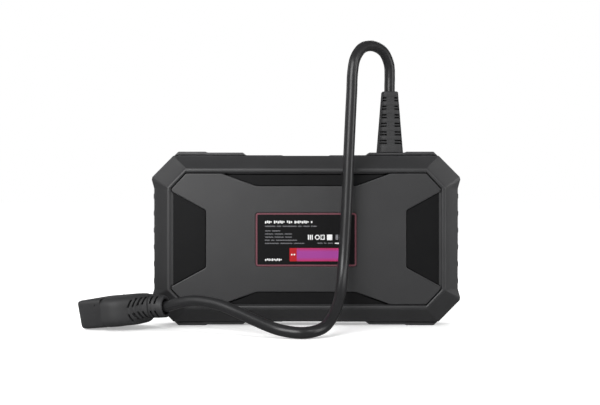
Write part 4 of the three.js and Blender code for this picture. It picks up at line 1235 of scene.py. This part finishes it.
# Glass-filled nylon for the shroud and the pin carrier: fine flow marks 4 mm long, a dry sheen.
nylon = moulded("glass_filled_nylon", "#222223", "#29292a", "#343436", 0.45 * MM, 0.48, 0.2, 4 * MM,
                Specular_IOR_Level=0.42)
carrier_nylon = moulded("black_nylon", "#101011", "#18181a", "#2a2a2c", 0.45 * MM, 0.5, 0.2, 4 * MM)
# Matt polyester film, printed black: a fine lacquer texture.
film = moulded("matt_polyester_film", "#09090a", "#0c0c0d", "#0e0e0f", 0.4 * MM, 0.5, 0.06,
               Specular_IOR_Level=0.12)
# Moulded silicone for the key caps: a dull bloom, rubbed paler along the edges.
silicone = moulded("moulded_silicone", "#33353a", "#3d4045", "#54575c", 0.5 * MM, 0.55, 0.15)
mat_silicone = moulded("translucent_silicone", "#62666b", "#7a7f84", "#7a7f84", 0.5 * MM, 0.5, 0.1,
                       Subsurface_Weight=0.15)
buff_nylon = moulded("natural_nylon", "#cfcab8", "#dedac9", "#dedac9", 0.5 * MM, 0.45, 0.15)
# Sintered ferrite: dark, dry and finely pitted.
ferrite = moulded("sintered_ferrite", "#1f1f22", "#2b2b2f", "#2b2b2f", 0.4 * MM, 0.7, 0.5, 2 * MM)
cord_pvc = extruded_pvc()
glass = cover_glass()
panel = unlit_panel()
foam = foamed()
# Metals: rolled brass, tinned and rolled steel, and screws bright from the thread roller.
brass = worked_metal("rolled_brass", "#c9a65c", "#a98542", 0.3 * MM, (1, 1, 6), 0.3)
tinned = worked_metal("tinned_steel", "#c8cacc", "#a9acaf", 0.6 * MM, (1, 1, 8), 0.32)
zinc = worked_metal("zinc_plated_steel", "#a7aaad", "#85888b", 0.4 * MM, (1, 5, 1), 0.35)
laminate = solder_masked()
inks = [screen_printed("frame", "#552f36", "#633d45"), screen_printed("white", "#c2c2c2", "#cecece"),
        screen_printed("grey", "#606063", "#707073"), screen_printed("red", "#8c0f16", "#9c151d"),
        graded_ink(*(MIDDLE + edge * MM for edge in PRINTED_BAR))]
border_ink = screen_printed("black", "#08080a", "#0d0d0f")

cord, route = make_cord(cord_pvc)
relief = make_strain_relief(mould_pvc)
plug_pieces = [*make_shroud(nylon, carrier_nylon, brass), make_grip(mould_pvc), make_tail(mould_pvc)]

make_bumper(rubber)
make_rear_cover(cover)
make_inserts(insert_black)
make_label(film, inks)
make_front_cover(cover)
make_screen(glass, border_ink, carrier_nylon, panel, foam)
make_keys(silicone, inks[1])

# The pieces inside keep their own shape and take these finishes.
SCREWS = [f"case_screw_{i}" for i in range(1, 7)] + [f"board_screw_{i}" for i in range(1, 5)]
INNER_FINISHES = {
    "keypad_mat_arrows": mat_silicone, "keypad_mat_side": mat_silicone, "main_board": laminate,
    "processor_shield": tinned, "buzzer": carrier_nylon, "board_header": buff_nylon, "power_coil": ferrite,
    "inner_lead": carrier_nylon, **dict.fromkeys(SCREWS, zinc),
}
for name, finish in INNER_FINISHES.items():
    for slot in bpy.data.objects[name].material_slots:
        slot.material = finish
